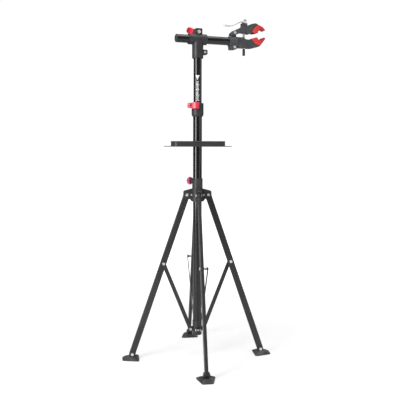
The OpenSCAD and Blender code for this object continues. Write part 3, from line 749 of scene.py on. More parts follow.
FINISHES: dict[str, Finish] = {
    "tube_paint": Finish("tube_paint", (0.007, 0.007, 0.008), 0.2, coat=0.2, grain_scale=260,
                         grain_depth=0.0, wear=0.0, dust=0.04, scratches=0.02, edge_radius=0.0),
    "leg_paint": Finish("leg_paint", (0.026, 0.026, 0.028), 0.34, grain_scale=700, grain_depth=0.00001,
                        wear=0.14, wear_colour=(0.12, 0.12, 0.125), dust=0.06, scratches=0.12),
    "casting": Finish("casting", (0.036, 0.036, 0.039), 0.42, grain_scale=1100, grain_depth=0.00004,
                      wear=0.25, wear_colour=(0.16, 0.16, 0.17), dust=0.15, specular=0.35),
    "jaw_casting": Finish("jaw_casting", (0.066, 0.067, 0.072), 0.5, metallic=0.0, grain_scale=800,
                          grain_depth=0.00004, wear=0.3, wear_colour=(0.26, 0.26, 0.27), dust=0.06,
                          specular=0.22),
    "foot_plastic": Finish("foot_plastic", (0.028, 0.028, 0.029), 0.55, grain_scale=600,
                           grain_depth=0.00005, wear=0.1, wear_colour=(0.12, 0.12, 0.12), dust=0.3),
    "tray_plastic": Finish("tray_plastic", (0.03, 0.03, 0.033), 0.5, grain_scale=1300,
                           grain_depth=0.00004, wear=0.12, wear_colour=(0.16, 0.16, 0.17), dust=0.25,
                           edge_radius=0.0008),
    "red_plastic": Finish("red_plastic", (0.68, 0.012, 0.04), 0.36, coat=0.25, grain_scale=500,
                          grain_depth=0.000004, wear=0.08, wear_colour=(0.8, 0.2, 0.25), dust=0.03),
    # lighter copy of red_plastic for the quick-release lever: the lighter red is painted highlight
    "bright_plastic": Finish("red_plastic", (0.74, 0.045, 0.085), 0.3, coat=0.5, grain_scale=500,
                             grain_depth=0.000004, wear=0.08, wear_colour=(0.8, 0.3, 0.35), dust=0.03),
    # pinker red for the knob: painted highlight, standing for the washed-out gloss of red plastic
    "knob_plastic": Finish("red_plastic", (0.55, 0.05, 0.14), 0.3, coat=0.7, grain_scale=500,
                           grain_depth=0.000006, wear=0.3, wear_colour=(0.75, 0.4, 0.45), dust=0.06),
    # red rubber pads, with painted shade: a darker tip and a near-black band on the jaw side
    "red_rubber": Finish("red_rubber", (0.74, 0.06, 0.045), 0.5, grain_scale=420, grain_depth=0.00006,
                         wear=0.1, wear_colour=(0.85, 0.3, 0.25), dust=0.12, scratches=0.05,
                         specular=0.3, pattern=Pattern.BACKED),
    "bush_plastic": Finish("bush_plastic", (0.03, 0.03, 0.032), 0.45, grain_scale=900, grain_depth=0.00003,
                           wear=0.1, dust=0.1),
    "zinc_steel": Finish("zinc_steel", (0.86, 0.86, 0.85), 0.42, metallic=0.65, grain_scale=1500,
                         grain_depth=0.000006, wear=0.2, wear_colour=(0.9, 0.9, 0.9), dust=0.05,
                         edge_radius=0.0004, pattern=Pattern.BRUSHED),
    # pale, part-metallic chrome: its pale diffuse colour is painted reflection, standing for the bright
    # reflections of polished steel
    "chrome_steel": Finish("chrome_steel", (0.84, 0.84, 0.86), 0.32, metallic=0.3, coat=0.3,
                           grain_scale=120, grain_depth=0.0, wear=0.0, dust=0.0, scratches=0.02,
                           edge_radius=0.0),
}
FINISHES["marked_paint"] = replace(FINISHES["tube_paint"], pattern=Pattern.SCALE_MARKS)
FINISHES["part_painted"] = replace(FINISHES["zinc_steel"], wear=0.1, pattern=Pattern.PART_PAINTED)
MATERIALS: dict[str, bpy.types.Material] = {}


def finish(piece: Piece, name: str) -> Piece:
    """Args:
        piece: the piece or CAD node.
        name: key of FINISHES.

    Returns:
        The same piece.
    """
    if name not in MATERIALS:
        MATERIALS[name] = FINISHES[name].material(name)
    piece.data.materials.clear()
    piece.data.materials.append(MATERIALS[name])
    return piece


def stand_in(node: str, name: str, shell: Shell, look: str, sharp: float = 40.0) -> None:
    """Makes a piece of a shell, in place of a CAD node.

    Args:
        node: the CAD node.
        name: name of the piece.
        shell: its points and faces.
        look: its finish.
        sharp: angle in degrees above which an edge stays sharp.
    """
    finish(seated(make(name, shell, sharp), node), look)


def cast(node: str, name: str, bevel: float, look: str) -> None:
    """Dresses a softened copy of a CAD node in a finish."""
    finish(softened(node, name, bevel), look)


# Sub-assemblies -----------------------------------------------------------------------------


@dataclass
class Tubes:
    """The three round tubes and the plain turned pieces on them."""

    mast_wall: float = 0.0014
    boom_wall: float = 0.0015

    def build(self) -> None:
        """Builds and dresses every tube, bush and cap."""
        self.tube("lower_tube", Axis.Z, self.mast_wall, "tube_paint")
        self.tube("upper_tube", Axis.Z, self.mast_wall, "marked_paint")
        self.tube("boom_tube", Axis.X, self.boom_wall, "tube_paint")
        self.end_cap()
        self.liner()

    def tube(self, node: str, axis: Axis, wall: float, look: str) -> None:
        """Turns one tube with rolled rims.

        Args:
            node: CAD node that it replaces.
            axis: direction of the tube.
            wall: its wall.
            look: its finish.
        """
        low, high = box_of(node)
        column = axis.value.index(2)
        radius = (high - low)[(column + 1) % 3] / 2
        origin = (low + high) / 2
        half = (high - low)[column] / 2
        shell = lathe(tube_profile(radius, wall, -half, half), axis, origin, 128)
        stand_in(node, node + "_shell", shell, look)

    def end_cap(self) -> None:
        """Domed plug on the boom's free end, with a spigot in the tube."""
        low, high = box_of("boom_end_cap")
        radius = (high - low)[1] / 2
        lip = 0.003
        deep = high[0] - low[0]
        inner = radius - self.boom_wall - 0.00005
        corners = [[0, 0.0], [radius - 0.004, 0.0], [radius, lip * 0.8], [radius, lip], [inner, lip],
                   [inner, deep], [inner - 0.002, deep], [inner - 0.002, lip], [0, lip]]
        face = [low[0], 0, (low[2] + high[2]) / 2]
        shell = lathe(solid_profile(corners, 0.0006), Axis.X, face, loop=False)
        stand_in("boom_end_cap", "boom_cap", shell, "bush_plastic")

    def liner(self) -> None:
        """Sleeve of the boom with a rolled lip at each end."""
        low, high = box_of("boom_liner")
        lip_r = (high - low)[1] / 2
        sleeve = box_of("boom_tube")[1][1] + 0.0003
        outer = sleeve + 0.0014
        half = (high[0] - low[0]) / 2
        lip = 0.0015
        ring = np.array([[sleeve, -half], [lip_r, -half], [lip_r, lip - half], [outer, lip - half],
                         [outer, half - lip], [lip_r, half - lip], [lip_r, half], [sleeve, half]])
        shell = lathe(round_outline(ring, 0.0005, 4), Axis.X, (low + high) / 2)
        stand_in("boom_liner", "liner_sleeve", shell, "bush_plastic")


@dataclass
class Base:
    """Legs, braces and feet."""

    depth: float = 0.030
    thick: float = 0.016
    corner: float = 0.0032
    lean: float = np.radians(19.0)
    length: float = 0.818
    foot_bolt_z: float = 0.026
    heel: float = 0.033
    toe: float = 0.048
    heel_w: float = 0.093
    toe_w: float = 0.050
    ear: float = 0.005

    def build(self) -> None:
        """Builds the four legs with their braces and feet."""
        pivot = joint_place("leg_1_fold")
        hub_r = np.hypot(*pivot[:2])
        for number in range(1, LEG_COUNT + 1):
            turn = azimuth_of(pivot) + (number - 1) * TAU / LEG_COUNT
            self.leg(number, turn, hub_r)
            self.foot(number, turn, hub_r)
            cast(f"brace_{number}", f"brace_{number}_bar", 0.0005, "leg_paint")

    def leg(self, number: int, turn: float, hub_r: float) -> None:
        """Sweeps a rounded-box section down the leg; its depth follows a half circle at each end.

        Args:
            number: the leg's number.
            turn: its azimuth.
            hub_r: radius of its hub bolt.
        """
        half = self.depth / 2
        end = half * np.sin(np.linspace(0, np.pi / 2, 14))
        stations = np.concatenate([-end[::-1], self.length + end])
        scale = np.sqrt(np.maximum(half**2 - np.concatenate([end[::-1], end]) ** 2, 0)) / half
        scale = np.maximum(scale, 0.02)
        box = np.array([[-self.thick, -self.depth], [self.thick, -self.depth],
                        [self.thick, self.depth], [-self.thick, self.depth]]) / 2
        section = round_outline(box, self.corner, 6)
        rings = np.stack([np.broadcast_to(section[:, 0], (len(scale), len(section))),
                          section[:, 1] * scale[:, None]], -1)
        down = np.array([np.sin(self.lean), 0, -np.cos(self.lean)])
        out = np.array([np.cos(self.lean), 0, np.sin(self.lean)])
        start = np.array([hub_r, 0, joint_place("leg_1_fold")[2]])
        points = start + stations[:, None, None] * down + rings[..., :1] * [0, 1, 0] + rings[..., 1:] * out
        shell = grid_shell(turned(points, turn), caps=True)
        stand_in(f"leg_{number}", f"leg_{number}_tube", shell, "leg_paint", 50)

    def plan(self, shrink: Array) -> Array:
        """Returns the foot's outline at each of several insets, (m, n, 2)."""
        s = np.asarray(shrink)[:, None]
        heel, toe = self.heel_w / 2 - 1.2 * s, self.toe_w / 2 - 0.9 * s
        back, front = -self.heel + s, self.toe - s
        corners = np.stack([np.hstack([back, -heel]), np.hstack([front, -toe]),
                            np.hstack([front, toe]), np.hstack([back, heel])], 1)
        return np.array([round_outline(c, 0.010, 8) for c in corners])

    def foot(self, number: int, turn: float, hub_r: float) -> None:
        """Lofts a stepped pad from shrinking outlines, and adds two round-topped ears.

        Args:
            number: the foot's number.
            turn: its azimuth.
            hub_r: radius of the hub bolts.
        """
        bolt_r = hub_r + self.length * np.sin(self.lean)
        levels = np.array([[2.0, 0.0], [0.6, 0.0], [0.0, 0.8], [0.0, 4.6], [0.7, 5.7], [2.2, 6.0], [5.0, 6.6],
                           [5.6, 8.6], [6.6, 9.0], [9.0, 9.6], [9.7, 11.6], [10.6, 12.0], [13.0, 12.6],
                           [13.8, 14.4], [15.0, 15.0], [18.0, 15.0]]) / 1000
        outlines = self.plan(levels[:, 0])
        z = np.broadcast_to(levels[:, 1][:, None, None], outlines.shape[:2] + (1,))
        pad = grid_shell(np.concatenate([outlines, z], -1), caps=True)
        pad.points = turned(pad.points + [bolt_r, 0, 0], turn)
        piece = make(f"foot_{number}_pad", pad, 38)
        pocket = drum(np.zeros(3), Axis.Y, self.depth / 2 + 0.001, self.thick / 2 + 0.001)
        pocket.points = turned(pocket.points + [bolt_r, 0, self.foot_bolt_z], turn)
        applied_cut(piece, pocket)
        finish(seated(piece, f"foot_{number}"), "foot_plastic")
        ear_r, inner = 0.012, self.thick / 2 + 0.001
        t = np.linspace(0, np.pi, 20)
        arch = np.column_stack([ear_r * np.cos(t), self.foot_bolt_z + ear_r * np.sin(t)])
        outline = np.vstack([arch, [[-ear_r - 0.002, 0.008], [ear_r + 0.002, 0.008]]])
        for side in (-1, 1):
            low, high = sorted((side * inner, side * (inner + self.ear)))
            rings = slab(outline, low, high, 0.0012)
            rings = np.stack([rings[..., 0], rings[..., 2], rings[..., 1]], -1)
            shell = grid_shell(turned(rings + [bolt_r, 0, 0], turn), caps=True)
            name = f"foot_{number}_ear_{'right' if side < 0 else 'left'}"
            ear = make(name, shell, 38)
            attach(ear, f"foot_{number}")
            finish(ear, "foot_plastic")


@dataclass
class Hub:
    """Sliding collar, spider and knob."""

    knob_lobes: int = 8
    knob_depth: float = 0.0016
    knob_thick: float = 0.018
    knob_dish: float = 0.016
    knob_r: float = 0.019

    def build(self) -> None:
        """Builds and dresses the hub."""
        for node, name in (("hub_collar", "hub_sleeve"), ("hub_spider", "hub_fork_arms")):
            cast(node, name, 0.0008, "casting")
        cast("foot_bracket", "bottom_bracket", 0.0006, "leg_paint")
        self.knob()

    def knob(self) -> None:
        """Lobed grip: radius R(v) = r + a cos(n v) on a rounded profile, with a dished face."""
        low, high = box_of("hub_knob")
        centre = (low + high) / 2
        radius, half = (high[2] - low[2]) / 2, self.knob_thick / 2
        profile = np.array([[0.0, 0.0], [9.0, 0.0], [10.0, 0.4], [13.0, 1.2], [17.0, 1.6], [18.6, 3.0],
                            [19.0, 5.4], [19.0, 12.6], [18.6, 15.0], [17.2, 17.2], [15.0, 18.0],
                            [12.0, 17.9], [10.4, 16.9], [9.6, 16.2], [0.0, 16.0]]) / 1000
        profile = smooth_open(profile[1:-1], 4)
        profile = np.vstack([[[0, 0]], profile, [[0, self.knob_dish]]])
        v = np.arange(128) * TAU / 128
        r = profile[:, :1]
        lobe = self.knob_depth * np.cos(self.knob_lobes * v) * np.clip((r - 0.012) / 0.007, 0, 1)
        scale = (radius - self.knob_depth) / self.knob_r
        r = r * scale + lobe
        z = np.broadcast_to(profile[:, 1:] - half, r.shape)
        local = np.stack([z, r * np.cos(v), r * np.sin(v)], -1)
        shell = grid_shell(turned(local, azimuth_of(centre)) + centre)
        # pinker red than the levers: painted highlight
        stand_in("hub_knob", "knob_grip", shell, "knob_plastic", 45)


@dataclass
class CamLever:
    """Red quick-release lever: a forked head and a grip that wraps the collar."""

    node: str
    joint: str
    yaw: float
    tilt: float = 0.0
    body: tuple[float, float] = (0.038, 0.025)
    body_r: float = 0.0285
    head_r: float = 0.0087
    fork_half: float = 0.0125
    grip_half: float = 0.0155
    grip_t: float = 0.0065
    clear: float = 0.0018
    end_r: float = 0.005
    barrel_r: float = 0.0074
    barrel_half: float = 0.0021
    slot_half: float = 0.0034
    sweep: tuple[float, float] = (-2.3, -1.3614)
    look: str = "red_plastic"

    def outline(self) -> Array:
        """Returns the plan: a round head, a neck, and a band between two arcs about the collar."""
        inner, outer = self.body_r + self.clear, self.body_r + self.clear + self.grip_t
        a = np.linspace(self.sweep[0], self.sweep[1], 22)
        ring = np.column_stack([np.cos(a), np.sin(a)])
        taper = np.linspace(0, 1, 22)[:, None] ** 3 * 0.0022
        far = np.array(self.body) + ring * (outer - taper)
        near = np.array(self.body) + ring * inner
        head = np.linspace(np.radians(38), np.radians(292), 26)
        disc = self.head_r * np.column_stack([np.cos(head), np.sin(head)])
        tip = (far[-1] + near[-1]) / 2 + 0.0016 * np.array([-np.sin(a[-1]), np.cos(a[-1])])
        return np.vstack([disc, far, [tip], near[::-1]])

    def placed(self, points: Array) -> Array:
        """Tips points about the skewer by the tilt, then turns them by the yaw."""
        c, s = np.cos(self.tilt), np.sin(self.tilt)
        tip = np.array([[c, 0, s], [0, 1, 0], [-s, 0, c]])
        return turned(points @ tip, self.yaw)

    def build(self) -> None:
        """Extrudes the plan with rounded rims, deeper at the grip than at the head, and slots the fork."""
        pin = joint_place(self.joint)
        plan = self.outline()
        rings = slab(plan, -self.grip_half, self.grip_half, 0.0016, 5)
        swell = np.clip((rings[..., 0] - 0.004) / 0.014, 0, 1)
        swell = swell * swell * (3 - 2 * swell)
        ratio = self.fork_half / self.grip_half
        reach = np.hypot(rings[..., 0] - self.body[0], rings[..., 1] - self.body[1])
        crown = 1 - 0.07 * np.clip((reach - self.body_r - self.clear) / self.grip_t, 0, 1) ** 2
        around = np.arctan2(rings[..., 1] - self.body[1], rings[..., 0] - self.body[0])
        to_end = np.clip((self.sweep[1] - around) * reach + 0.0016, 0, self.end_r)
        drop = self.end_r - np.sqrt(self.end_r**2 - (self.end_r - to_end) ** 2)
        on_band = np.clip(rings[..., 0] / 0.02, 0, 1) ** 4
        rings[..., 2] *= (ratio + (1 - ratio) * swell) * crown * (1 - on_band * drop / self.grip_half)
        shell = grid_shell(rings, caps=True)
        shell.points = self.placed(shell.points) + pin
        piece = make(self.node + "_grip", shell, 45)
        slot = block((-0.02, -0.02, -self.slot_half), (self.head_r, 0.02, self.slot_half))
        slot.points = self.placed(slot.points) + pin
        applied_cut(piece, slot)
        finish(seated(piece, self.node), self.look)
        self.barrel(pin)

    def barrel(self, pin: Array) -> None:
        """Turned cam barrel on the pin, between the fork's cheeks."""
        r, half = self.barrel_r, self.barrel_half
        profile = solid_profile([[0, -half], [r, -half], [r, half], [0, half]], 0.0006)
        shell = lathe(profile, Axis.Z, np.zeros(3), 56, loop=False)
        shell.points = self.placed(shell.points) + pin
        piece = make(self.node + "_barrel", shell, 40)
        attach(piece, frame["nodes"][self.node.replace("lever", "cam_pin")]["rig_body"])
        finish(piece, self.look)


@dataclass
class Tray:
    """Tool tray with a rolled rim."""

    half: tuple[float, float] = (0.121, 0.090)
    corner: float = 0.018
    wall: float = 0.0025
    bead: float = 0.0021

    def build(self) -> None:
        """Builds the tray as one softened shell, and a bead round its rim."""
        cast("tool_tray", "tray_body", 0.0007, "tray_plastic")
        self.rim()

    def rim(self) -> None:
        """Carries a round bead along the top of the tray's wall."""
        yaw = azimuth_of(joint_place("leg_1_fold"))
        _, high = box_of("tool_tray")
        corners = np.array([[-1, -1], [1, -1], [1, 1], [-1, 1]]) * (np.array(self.half) - self.wall / 2)
        line = round_outline(corners, self.corner - self.wall / 2, 14)
        v = np.arange(16) * TAU / 16
        out = inset(line, -self.bead * np.cos(v))
        height = high[2] - self.bead + self.bead * np.sin(v)
        z = np.broadcast_to(height[:, None, None], out.shape[:2] + (1,))
        shell = grid_shell(np.concatenate([out, z], -1), loop_rows=True)
        shell.points = turned(shell.points, yaw)
        piece = make("tray_rim_bead", shell, 60)
        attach(piece, "mast")
        finish(piece, "tray_plastic")


@dataclass
class Clamp:
    """Jaws, pads, rod, spring, cam lever and nut."""

    half: float = 0.018
    rod_r: float = 0.0035
    coil_r: float = 0.0061
    wire_r: float = 0.0009
    turns: int = 9
    ribs: int = 7
    rib_deep: float = 0.00045
    cam_r: float = 0.011
    pad_rim: float = 0.0012
    notch_x: float = 0.154

    def origin(self) -> Array:
        """Returns the socket's rear face on the boom's axis."""
        low, _ = box_of("clamp_body")
        boom = centre_of("boom_tube")
        return np.array([low[0], 0, boom[2]])

    def build(self) -> None:
        """Builds and dresses the clamp."""
        for node, name in (("clamp_body", "fixed_jaw"), ("upper_jaw", "moving_jaw")):
            cast(node, name, 0.0014, "jaw_casting")
        lower = [[112, 17], [122, 1], [136, -11], [159, -14.5], [168, -4], [186, 19], [186, 24.5],
                 [177, 26.5], [157, 9], [141, 26]]
        upper = [[127, 42], [146, 46], [157, 69], [184, 58], [185, 63], [173, 75], [150, 85], [139, 81],
                 [128, 73], [118, 60], [114, 46]]
        radii_low = np.array([1.5, 12, 14, 4, 6, 2.5, 2, 3, 3, 3]) / 1000
        radii_up = np.array([4, 4, 3, 2, 2.5, 8, 3, 20, 20, 14, 4]) / 1000
        self.pad("lower_pad", np.array(lower) / 1000, radii_low, [1, 2, 3])
        self.pad("upper_pad", np.array(upper) / 1000, radii_up, [0, 1, 7, 8, 9, 10])
        self.rod()
        self.spring()
        self.cam_lever()
        self.nut()

    def pad(self, node: str, corners: Array, radii: Array, backed: list[int]) -> None:
        """Extrudes a rounded outline across the jaw, with ribs: its inset is d (1 - |sin(k y)|).

        Args:
            node: CAD node that it replaces.
            corners: (n, 2) outline in the clamp's plane, anticlockwise.
            radii: corner radii.
            backed: corners that lie on the jaw, round which a near-black band of painted shade goes on the
                pad's face, for the shade of the recess there.
        """
        outline = round_outline(corners, radii, 7)
        # back is 1 at the corners on the jaw: there the band of painted shade goes, and the face sits deeper.
        back = np.zeros(len(corners))
        back[backed] = 1
        back = np.repeat(back, len(outline) // len(corners))[:, None]
        t = np.linspace(0, np.pi / 2, 6)
        edge = self.pad_rim
        flat_y = np.linspace(edge - self.half, self.half - edge, 8 * self.ribs + 1)
        end, rim = self.half - edge * (1 - np.cos(t)), edge * (1 - np.sin(t))
        y = np.concatenate([-end, flat_y[1:-1], end[::-1]])
        phase = np.pi * self.ribs * (flat_y[1:-1] + self.half) / (2 * self.half)
        ridge = self.rib_deep * (1 - np.abs(np.sin(phase)))
        depth = np.concatenate([rim, ridge, rim[::-1]])
        flat = inset(outline, depth)
        shallow, deep = inset(outline, np.array([0.0016, 0.0034]))
        face = shallow * (1 - back) + deep * back
        flat = np.concatenate([face[None], flat, face[None]])
        y = np.concatenate([y[:1], y, y[-1:]])
        rings = np.stack([flat[..., 0], np.broadcast_to(y[:, None], flat.shape[:2]), flat[..., 1]], -1)
        piece = make(node + "_rubber", grid_shell(rings + self.origin(), caps=True), 50)
        # mask: the band of painted shade round the face on the jaw side, read by the rubber's material.
        mask = np.repeat(back.T, len(rings), 0)
        mask[[0, -1]] = 0
        # outer: painted shade, a darker red on the pad's tip beyond the notch, where the face turns from the
        # light.
        outer = np.clip((rings[..., 0] - self.notch_x) / 0.012, 0, 1)
        set_layer(piece, PAINTED, mask)
        set_layer(piece, OUTER, outer)
        finish(seated(piece, node), "red_rubber")

    def rod(self) -> None:
        """Turned rod with a rolled thread: radius r - d sin^2(pi z / pitch) low down, plain above."""
        low, high = box_of("clamp_rod")
        x = (low[0] + high[0]) / 2
        z = np.linspace(low[2] + 0.0005, high[2], 420)
        pitch = 0.00125
        thread = 0.00028 * (0.5 - 0.5 * np.cos(TAU * z / pitch)) * (z < low[2] + 0.105)
        profile = np.column_stack([self.rod_r - thread, z])
        profile = np.vstack([[0, low[2]], [self.rod_r - 0.0006, low[2]], profile, [0, high[2]]])
        shell = lathe(profile, Axis.Z, [x, 0, 0], 40, loop=False)
        stand_in("clamp_rod", "clamp_screw", shell, "zinc_steel", 60)

    def spring(self) -> None:
        """Helix of round wire between the jaws, with its end turns lying flat."""
        low, high = box_of("clamp_spring")
        x = (low[0] + high[0]) / 2
        t = np.linspace(0, 1, self.turns * 28)
        rise = np.clip((t - 0.07) / 0.86, 0, 1)
        z = low[2] + self.wire_r + (high[2] - low[2] - 2 * self.wire_r) * rise
        angle = TAU * self.turns * t
        path = np.column_stack([x + self.coil_r * np.cos(angle), self.coil_r * np.sin(angle), z])
        v = np.arange(10) * TAU / 10
        wire = self.wire_r * np.column_stack([np.cos(v), np.sin(v)])
        shell = grid_shell(tube_along(path, wire, np.array([0, 0, 1.0])), caps=True)
        stand_in("clamp_spring", "return_spring", shell, "zinc_steel", 60)

    def cam_lever(self) -> None:
        """Round cam head and a forged handle whose section widens and flattens to its end."""
        pin = joint_place("cam_lever_lift")
        r = self.cam_r
        head = solid_profile([[0, -r], [r, -r], [r, r], [0, r]], 0.0012)
        disc = make("cam_head", lathe(head, Axis.Y, pin, 72, loop=False), 40)
        gap = block(pin + [-0.0105, -0.0044, -0.012], pin + [0.0115, 0.0044, 0.012])
        applied_cut(disc, gap)
        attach(disc, "cam_lever")
        # pale chrome: painted reflection
        finish(disc, "chrome_steel")
        line = np.array([[-7, 1], [-14, -2], [-24, -6.5], [-45, -17], [-61, -23.5], [-77, -27], [-92, -27.5],
                         [-106.5, -26]]) / 1000
        curve = smooth_open(line, 8)
        path = np.column_stack([curve[:, 0], np.zeros(len(curve)), curve[:, 1]]) + pin
        s = np.linspace(0, 1, len(path))
        wide = 0.0062 + 0.0022 * np.sin(np.pi * s) ** 2 + 0.001 * s
        thick = 0.0042 - 0.0009 * s
        blunt = np.sqrt(np.clip(1 - np.clip((s - 0.955) / 0.045, 0, 1) ** 2, 0.02, 1))
        v = np.arange(28) * TAU / 28
        ring = np.stack([np.cos(v), np.sin(v)], -1)
        ring = np.sign(ring) * np.abs(ring) ** 0.6
        section = np.stack([(wide * blunt)[:, None] * ring[:, 0], (thick * blunt)[:, None] * ring[:, 1]], -1)
        points = tube_along(path, section, np.array([0, 0, 1.0]))
        handle = make("cam_handle", grid_shell(points, caps=True), 60)
        # pale chrome handle: painted reflection
        finish(seated(handle, "clamp_lever"), "chrome_steel")

    def nut(self) -> None:
        """Knurled barrel nut: radius r - a sin^2(n v) between plain rims."""
        low, high = box_of("adjusting_nut")
        centre = (low + high) / 2
        radius, tall = (high[0] - low[0]) / 2, high[2] - low[2]
        z = np.array([0, 0.0, 0.8, 2.0, 2.6, 3.0, tall * 1000 - 8, tall * 1000 - 7.4, tall * 1000 - 6.6,
                      tall * 1000 - 1, tall * 1000, tall * 1000]) / 1000 + low[2]
        r = np.array([0, radius - 0.0012, radius - 0.0004, radius - 0.0004, radius, radius, radius, radius,
                      radius - 0.001, radius - 0.001, radius - 0.0018, self.rod_r])
        knurl = np.array([0, 0, 0, 0, 0, 1, 1, 0, 0, 0, 0, 0])
        v = np.arange(144) * TAU / 144
        rad = r[:, None] - 0.00035 * knurl[:, None] * (0.5 - 0.5 * np.cos(36 * v))
        height = np.broadcast_to(z[:, None], rad.shape)
        points = np.stack([rad * np.cos(v) + centre[0], rad * np.sin(v), height], -1)
        bore = self.rod_r * np.array([np.cos(v), np.sin(v), 0 * v])
        inner = bore.T + [centre[0], 0, low[2] + 0.003]
        shell = grid_shell(np.concatenate([points, inner[None]]))
        shell.faces.append(tuple(range(len(points) * len(v), (len(points) + 1) * len(v))))
        stand_in("adjusting_nut", "barrel_nut", shell, "bush_plastic", 50)


@dataclass
class Fasteners:
    """Bolts, pins, washers and hidden pieces that keep their CAD shape."""

    looks: dict = field(default_factory=lambda: {
        "zinc_steel": ["brace_pivot_bolts", "qr_skewer", "qr_cam_pin", "tray_screw", "hub_pivot_bolts",
                       "hub_rivets", "hub_knob_stud", "head_lug_bolt", "head_skewer", "head_cam_pin",
                       "clamp_bolts", "clamp_washer", "lever_pin"],
        "bush_plastic": ["guide_bush", "slider_bush"],
        "casting": ["tray_collar"],
    })
    leg_half: float = 0.008
    foot_top: float = 0.1

    def build(self) -> None:
        """Dresses each node, with a small live rounding on the turned heads."""
        for look, nodes in self.looks.items():
            for node in nodes:
                cast(node, node + "_turned", 0.0004, look)
        for number in range(1, LEG_COUNT + 1):
            cast(f"brace_{number}_nut", f"brace_{number}_nut_turned", 0.0004, "zinc_steel")
            bolts = softened(f"leg_{number}_hardware", f"leg_{number}_hardware_turned", 0.0004)
            self.paint_spacer(bolts, number)
            finish(bolts, "part_painted")

    def paint_spacer(self, bolts: Piece, number: int) -> None:
        """Marks the spacer's points, those beside the leg's face, which are painted like the leg.

        Args:
            bolts: the leg's hardware.
            number: the leg's number.
        """
        foot = centre_of(f"foot_{number}")
        across = np.array([-foot[1], foot[0], 0]) / np.hypot(foot[0], foot[1])
        points = np.empty(3 * len(bolts.data.vertices))
        bolts.data.vertices.foreach_get("co", points)
        points = points.reshape(-1, 3)
        beside = (points @ across > self.leg_half + 0.0001) & (points[:, 2] > self.foot_top)
        set_layer(bolts, PAINTED, beside)


@dataclass
class Head:
    """Tee casting and the mast's split collar."""

    def build(self) -> None:
        """Builds both castings."""
        cast("head_casting", "tee_head", 0.0011, "casting")
        cast("qr_collar", "split_collar", 0.0009, "casting")


# Stage --------------------------------------------------------------------------------------


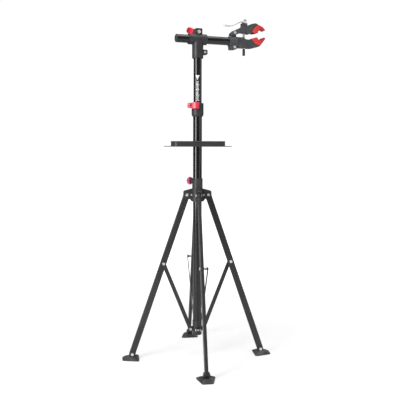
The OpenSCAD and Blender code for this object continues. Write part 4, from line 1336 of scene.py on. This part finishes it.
@dataclass
class Studio:
    """Pale floor, soft lights and the camera."""

    eye: tuple[float, float, float] = (-1.023, -2.781, 1.0535)
    heading: float = np.arctan2(0.349, 0.937)
    pitch: float = np.radians(5.39)
    roll: float = np.radians(-0.15)
    focal: float = 55.5
    paper_seen: float = 0.42
    paper_glow: float = 0.15
    air_glow: float = 0.5
    air_dim: float = 0.04

    def build(self) -> None:
        """Sets up the whole stage."""
        bpy.context.scene.view_settings.view_transform = "Standard"
        self.floor()
        self.camera()
        self.lights()

    def floor(self) -> None:
        """Flat round sheet of paper: rings of radius r = R t^2, so that it is finer near the stand."""
        rings = (9.0 * np.linspace(0, 1, 14) ** 2)[1:, None]
        v = np.arange(48) * TAU / 48
        points = np.stack([rings * np.cos(v), rings * np.sin(v), 0 * rings - 0.0002 + 0 * v], -1)
        shell = grid_shell(points, caps=False)
        shell.faces.append(tuple(range(48)))
        mesh = bpy.data.meshes.new("paper_floor")
        mesh.from_pydata(shell.points.tolist(), [], shell.faces)
        sheet = bpy.data.objects.new("paper_floor", mesh)
        bpy.context.scene.collection.objects.link(sheet)
        paper = bpy.data.materials.new("paper")
        paper.use_nodes = True
        g = Graph(paper.node_tree)
        shader = paper.node_tree.nodes["Principled BSDF"]
        fill(shader, Base_Color=(0.58, 0.58, 0.58, 1), Roughness=0.9, Specular_IOR_Level=0.1,
             Emission_Color=(1, 1, 1, 1))
        seen = g.node("ShaderNodeLightPath").outputs["Is Camera Ray"]
        place = g.node("ShaderNodeTexCoord").outputs["Object"]
        reach = g.node("ShaderNodeVectorMath", operation="LENGTH", in_0=place).outputs["Value"]
        away = g.ramp(reach, 0.5, 2.4)
        shown = g.scaled(away, WHITE - self.paper_seen, self.paper_seen - self.paper_glow)
        glow = g.scaled(seen, shown, self.paper_glow)
        paper.node_tree.links.new(glow, shader.inputs["Emission Strength"])
        mesh.materials.append(paper)

    def camera(self) -> None:
        """Places the camera by its place, heading, pitch and roll."""
        lens = bpy.data.cameras.new("camera")
        lens.lens = self.focal
        lens.sensor_width = 36.0
        view = bpy.data.objects.new("camera", lens)
        view.location = self.eye
        view.rotation_euler = Euler((np.pi / 2 - self.pitch, self.roll, -self.heading), "XYZ")
        bpy.context.scene.collection.objects.link(view)
        bpy.context.scene.camera = view

    def lights(self) -> None:
        """Places a tall soft box on the left, a dim low one on the right, and a large one above."""
        for name, place, aim, size, power in (
            ("key", (-2.75, -1.2, 1.75), (0, 0, 1.6), (1.45, 2.7), 104.0),
            ("fill", (1.75, -2.45, 0.75), (0, 0, 0.75), (0.7, 1.6), 7.0),
            ("side_fill", (2.75, -1.25, 1.9), (0, 0, 1.4), (0.9, 2.2), 12.0),
            ("top", (-0.3, -0.5, 4.6), (0, 0, 0), (4.0, 4.0), 120.0),
        ):
            lamp = bpy.data.lights.new(name, "AREA")
            lamp.shape = "RECTANGLE"
            lamp.size, lamp.size_y = size
            lamp.energy = power
            spot = bpy.data.objects.new(name, lamp)
            spot.location = place
            spot.rotation_euler = (Vector(aim) - Vector(place)).to_track_quat("-Z", "Y").to_euler()
            bpy.context.scene.collection.objects.link(spot)
        world = bpy.data.worlds.new("studio")
        world.use_nodes = True
        g = Graph(world.node_tree)
        seen = g.node("ShaderNodeLightPath").outputs["Is Camera Ray"]
        way = g.node("ShaderNodeTexCoord").outputs["Generated"]
        up = g.node("ShaderNodeSeparateXYZ", in_0=way).outputs["Z"]
        air = g.scaled(g.math("MAXIMUM", up, 0.0), self.air_glow, self.air_dim)
        strength = g.math("MAXIMUM", g.math("MULTIPLY", seen, WHITE), air)
        back = world.node_tree.nodes["Background"]
        back.inputs[0].default_value = (1, 1, 1, 1)
        world.node_tree.links.new(strength, back.inputs[1])
        bpy.context.scene.world = world


def main() -> None:
    """Builds every sub-assembly in order."""
    logging.basicConfig(level=logging.INFO, format="%(name)s: %(message)s")
    collar_yaw = np.radians(-20.2)
    parts = [
        Tubes(), Base(), Hub(), Head(), Tray(), Clamp(), Fasteners(),
        # the quick-release lever takes a lighter red than the head lever: painted highlight
        CamLever("qr_lever", "qr_lever_swing", collar_yaw, look="bright_plastic"),
        CamLever("head_lever", "head_lever_swing", np.pi, tilt=np.radians(22), end_r=0.014),
        Studio(),
    ]
    for part in parts:
        part.build()
        LOG.info("built %s", type(part).__name__)


if __name__ == "__main__":
    main()
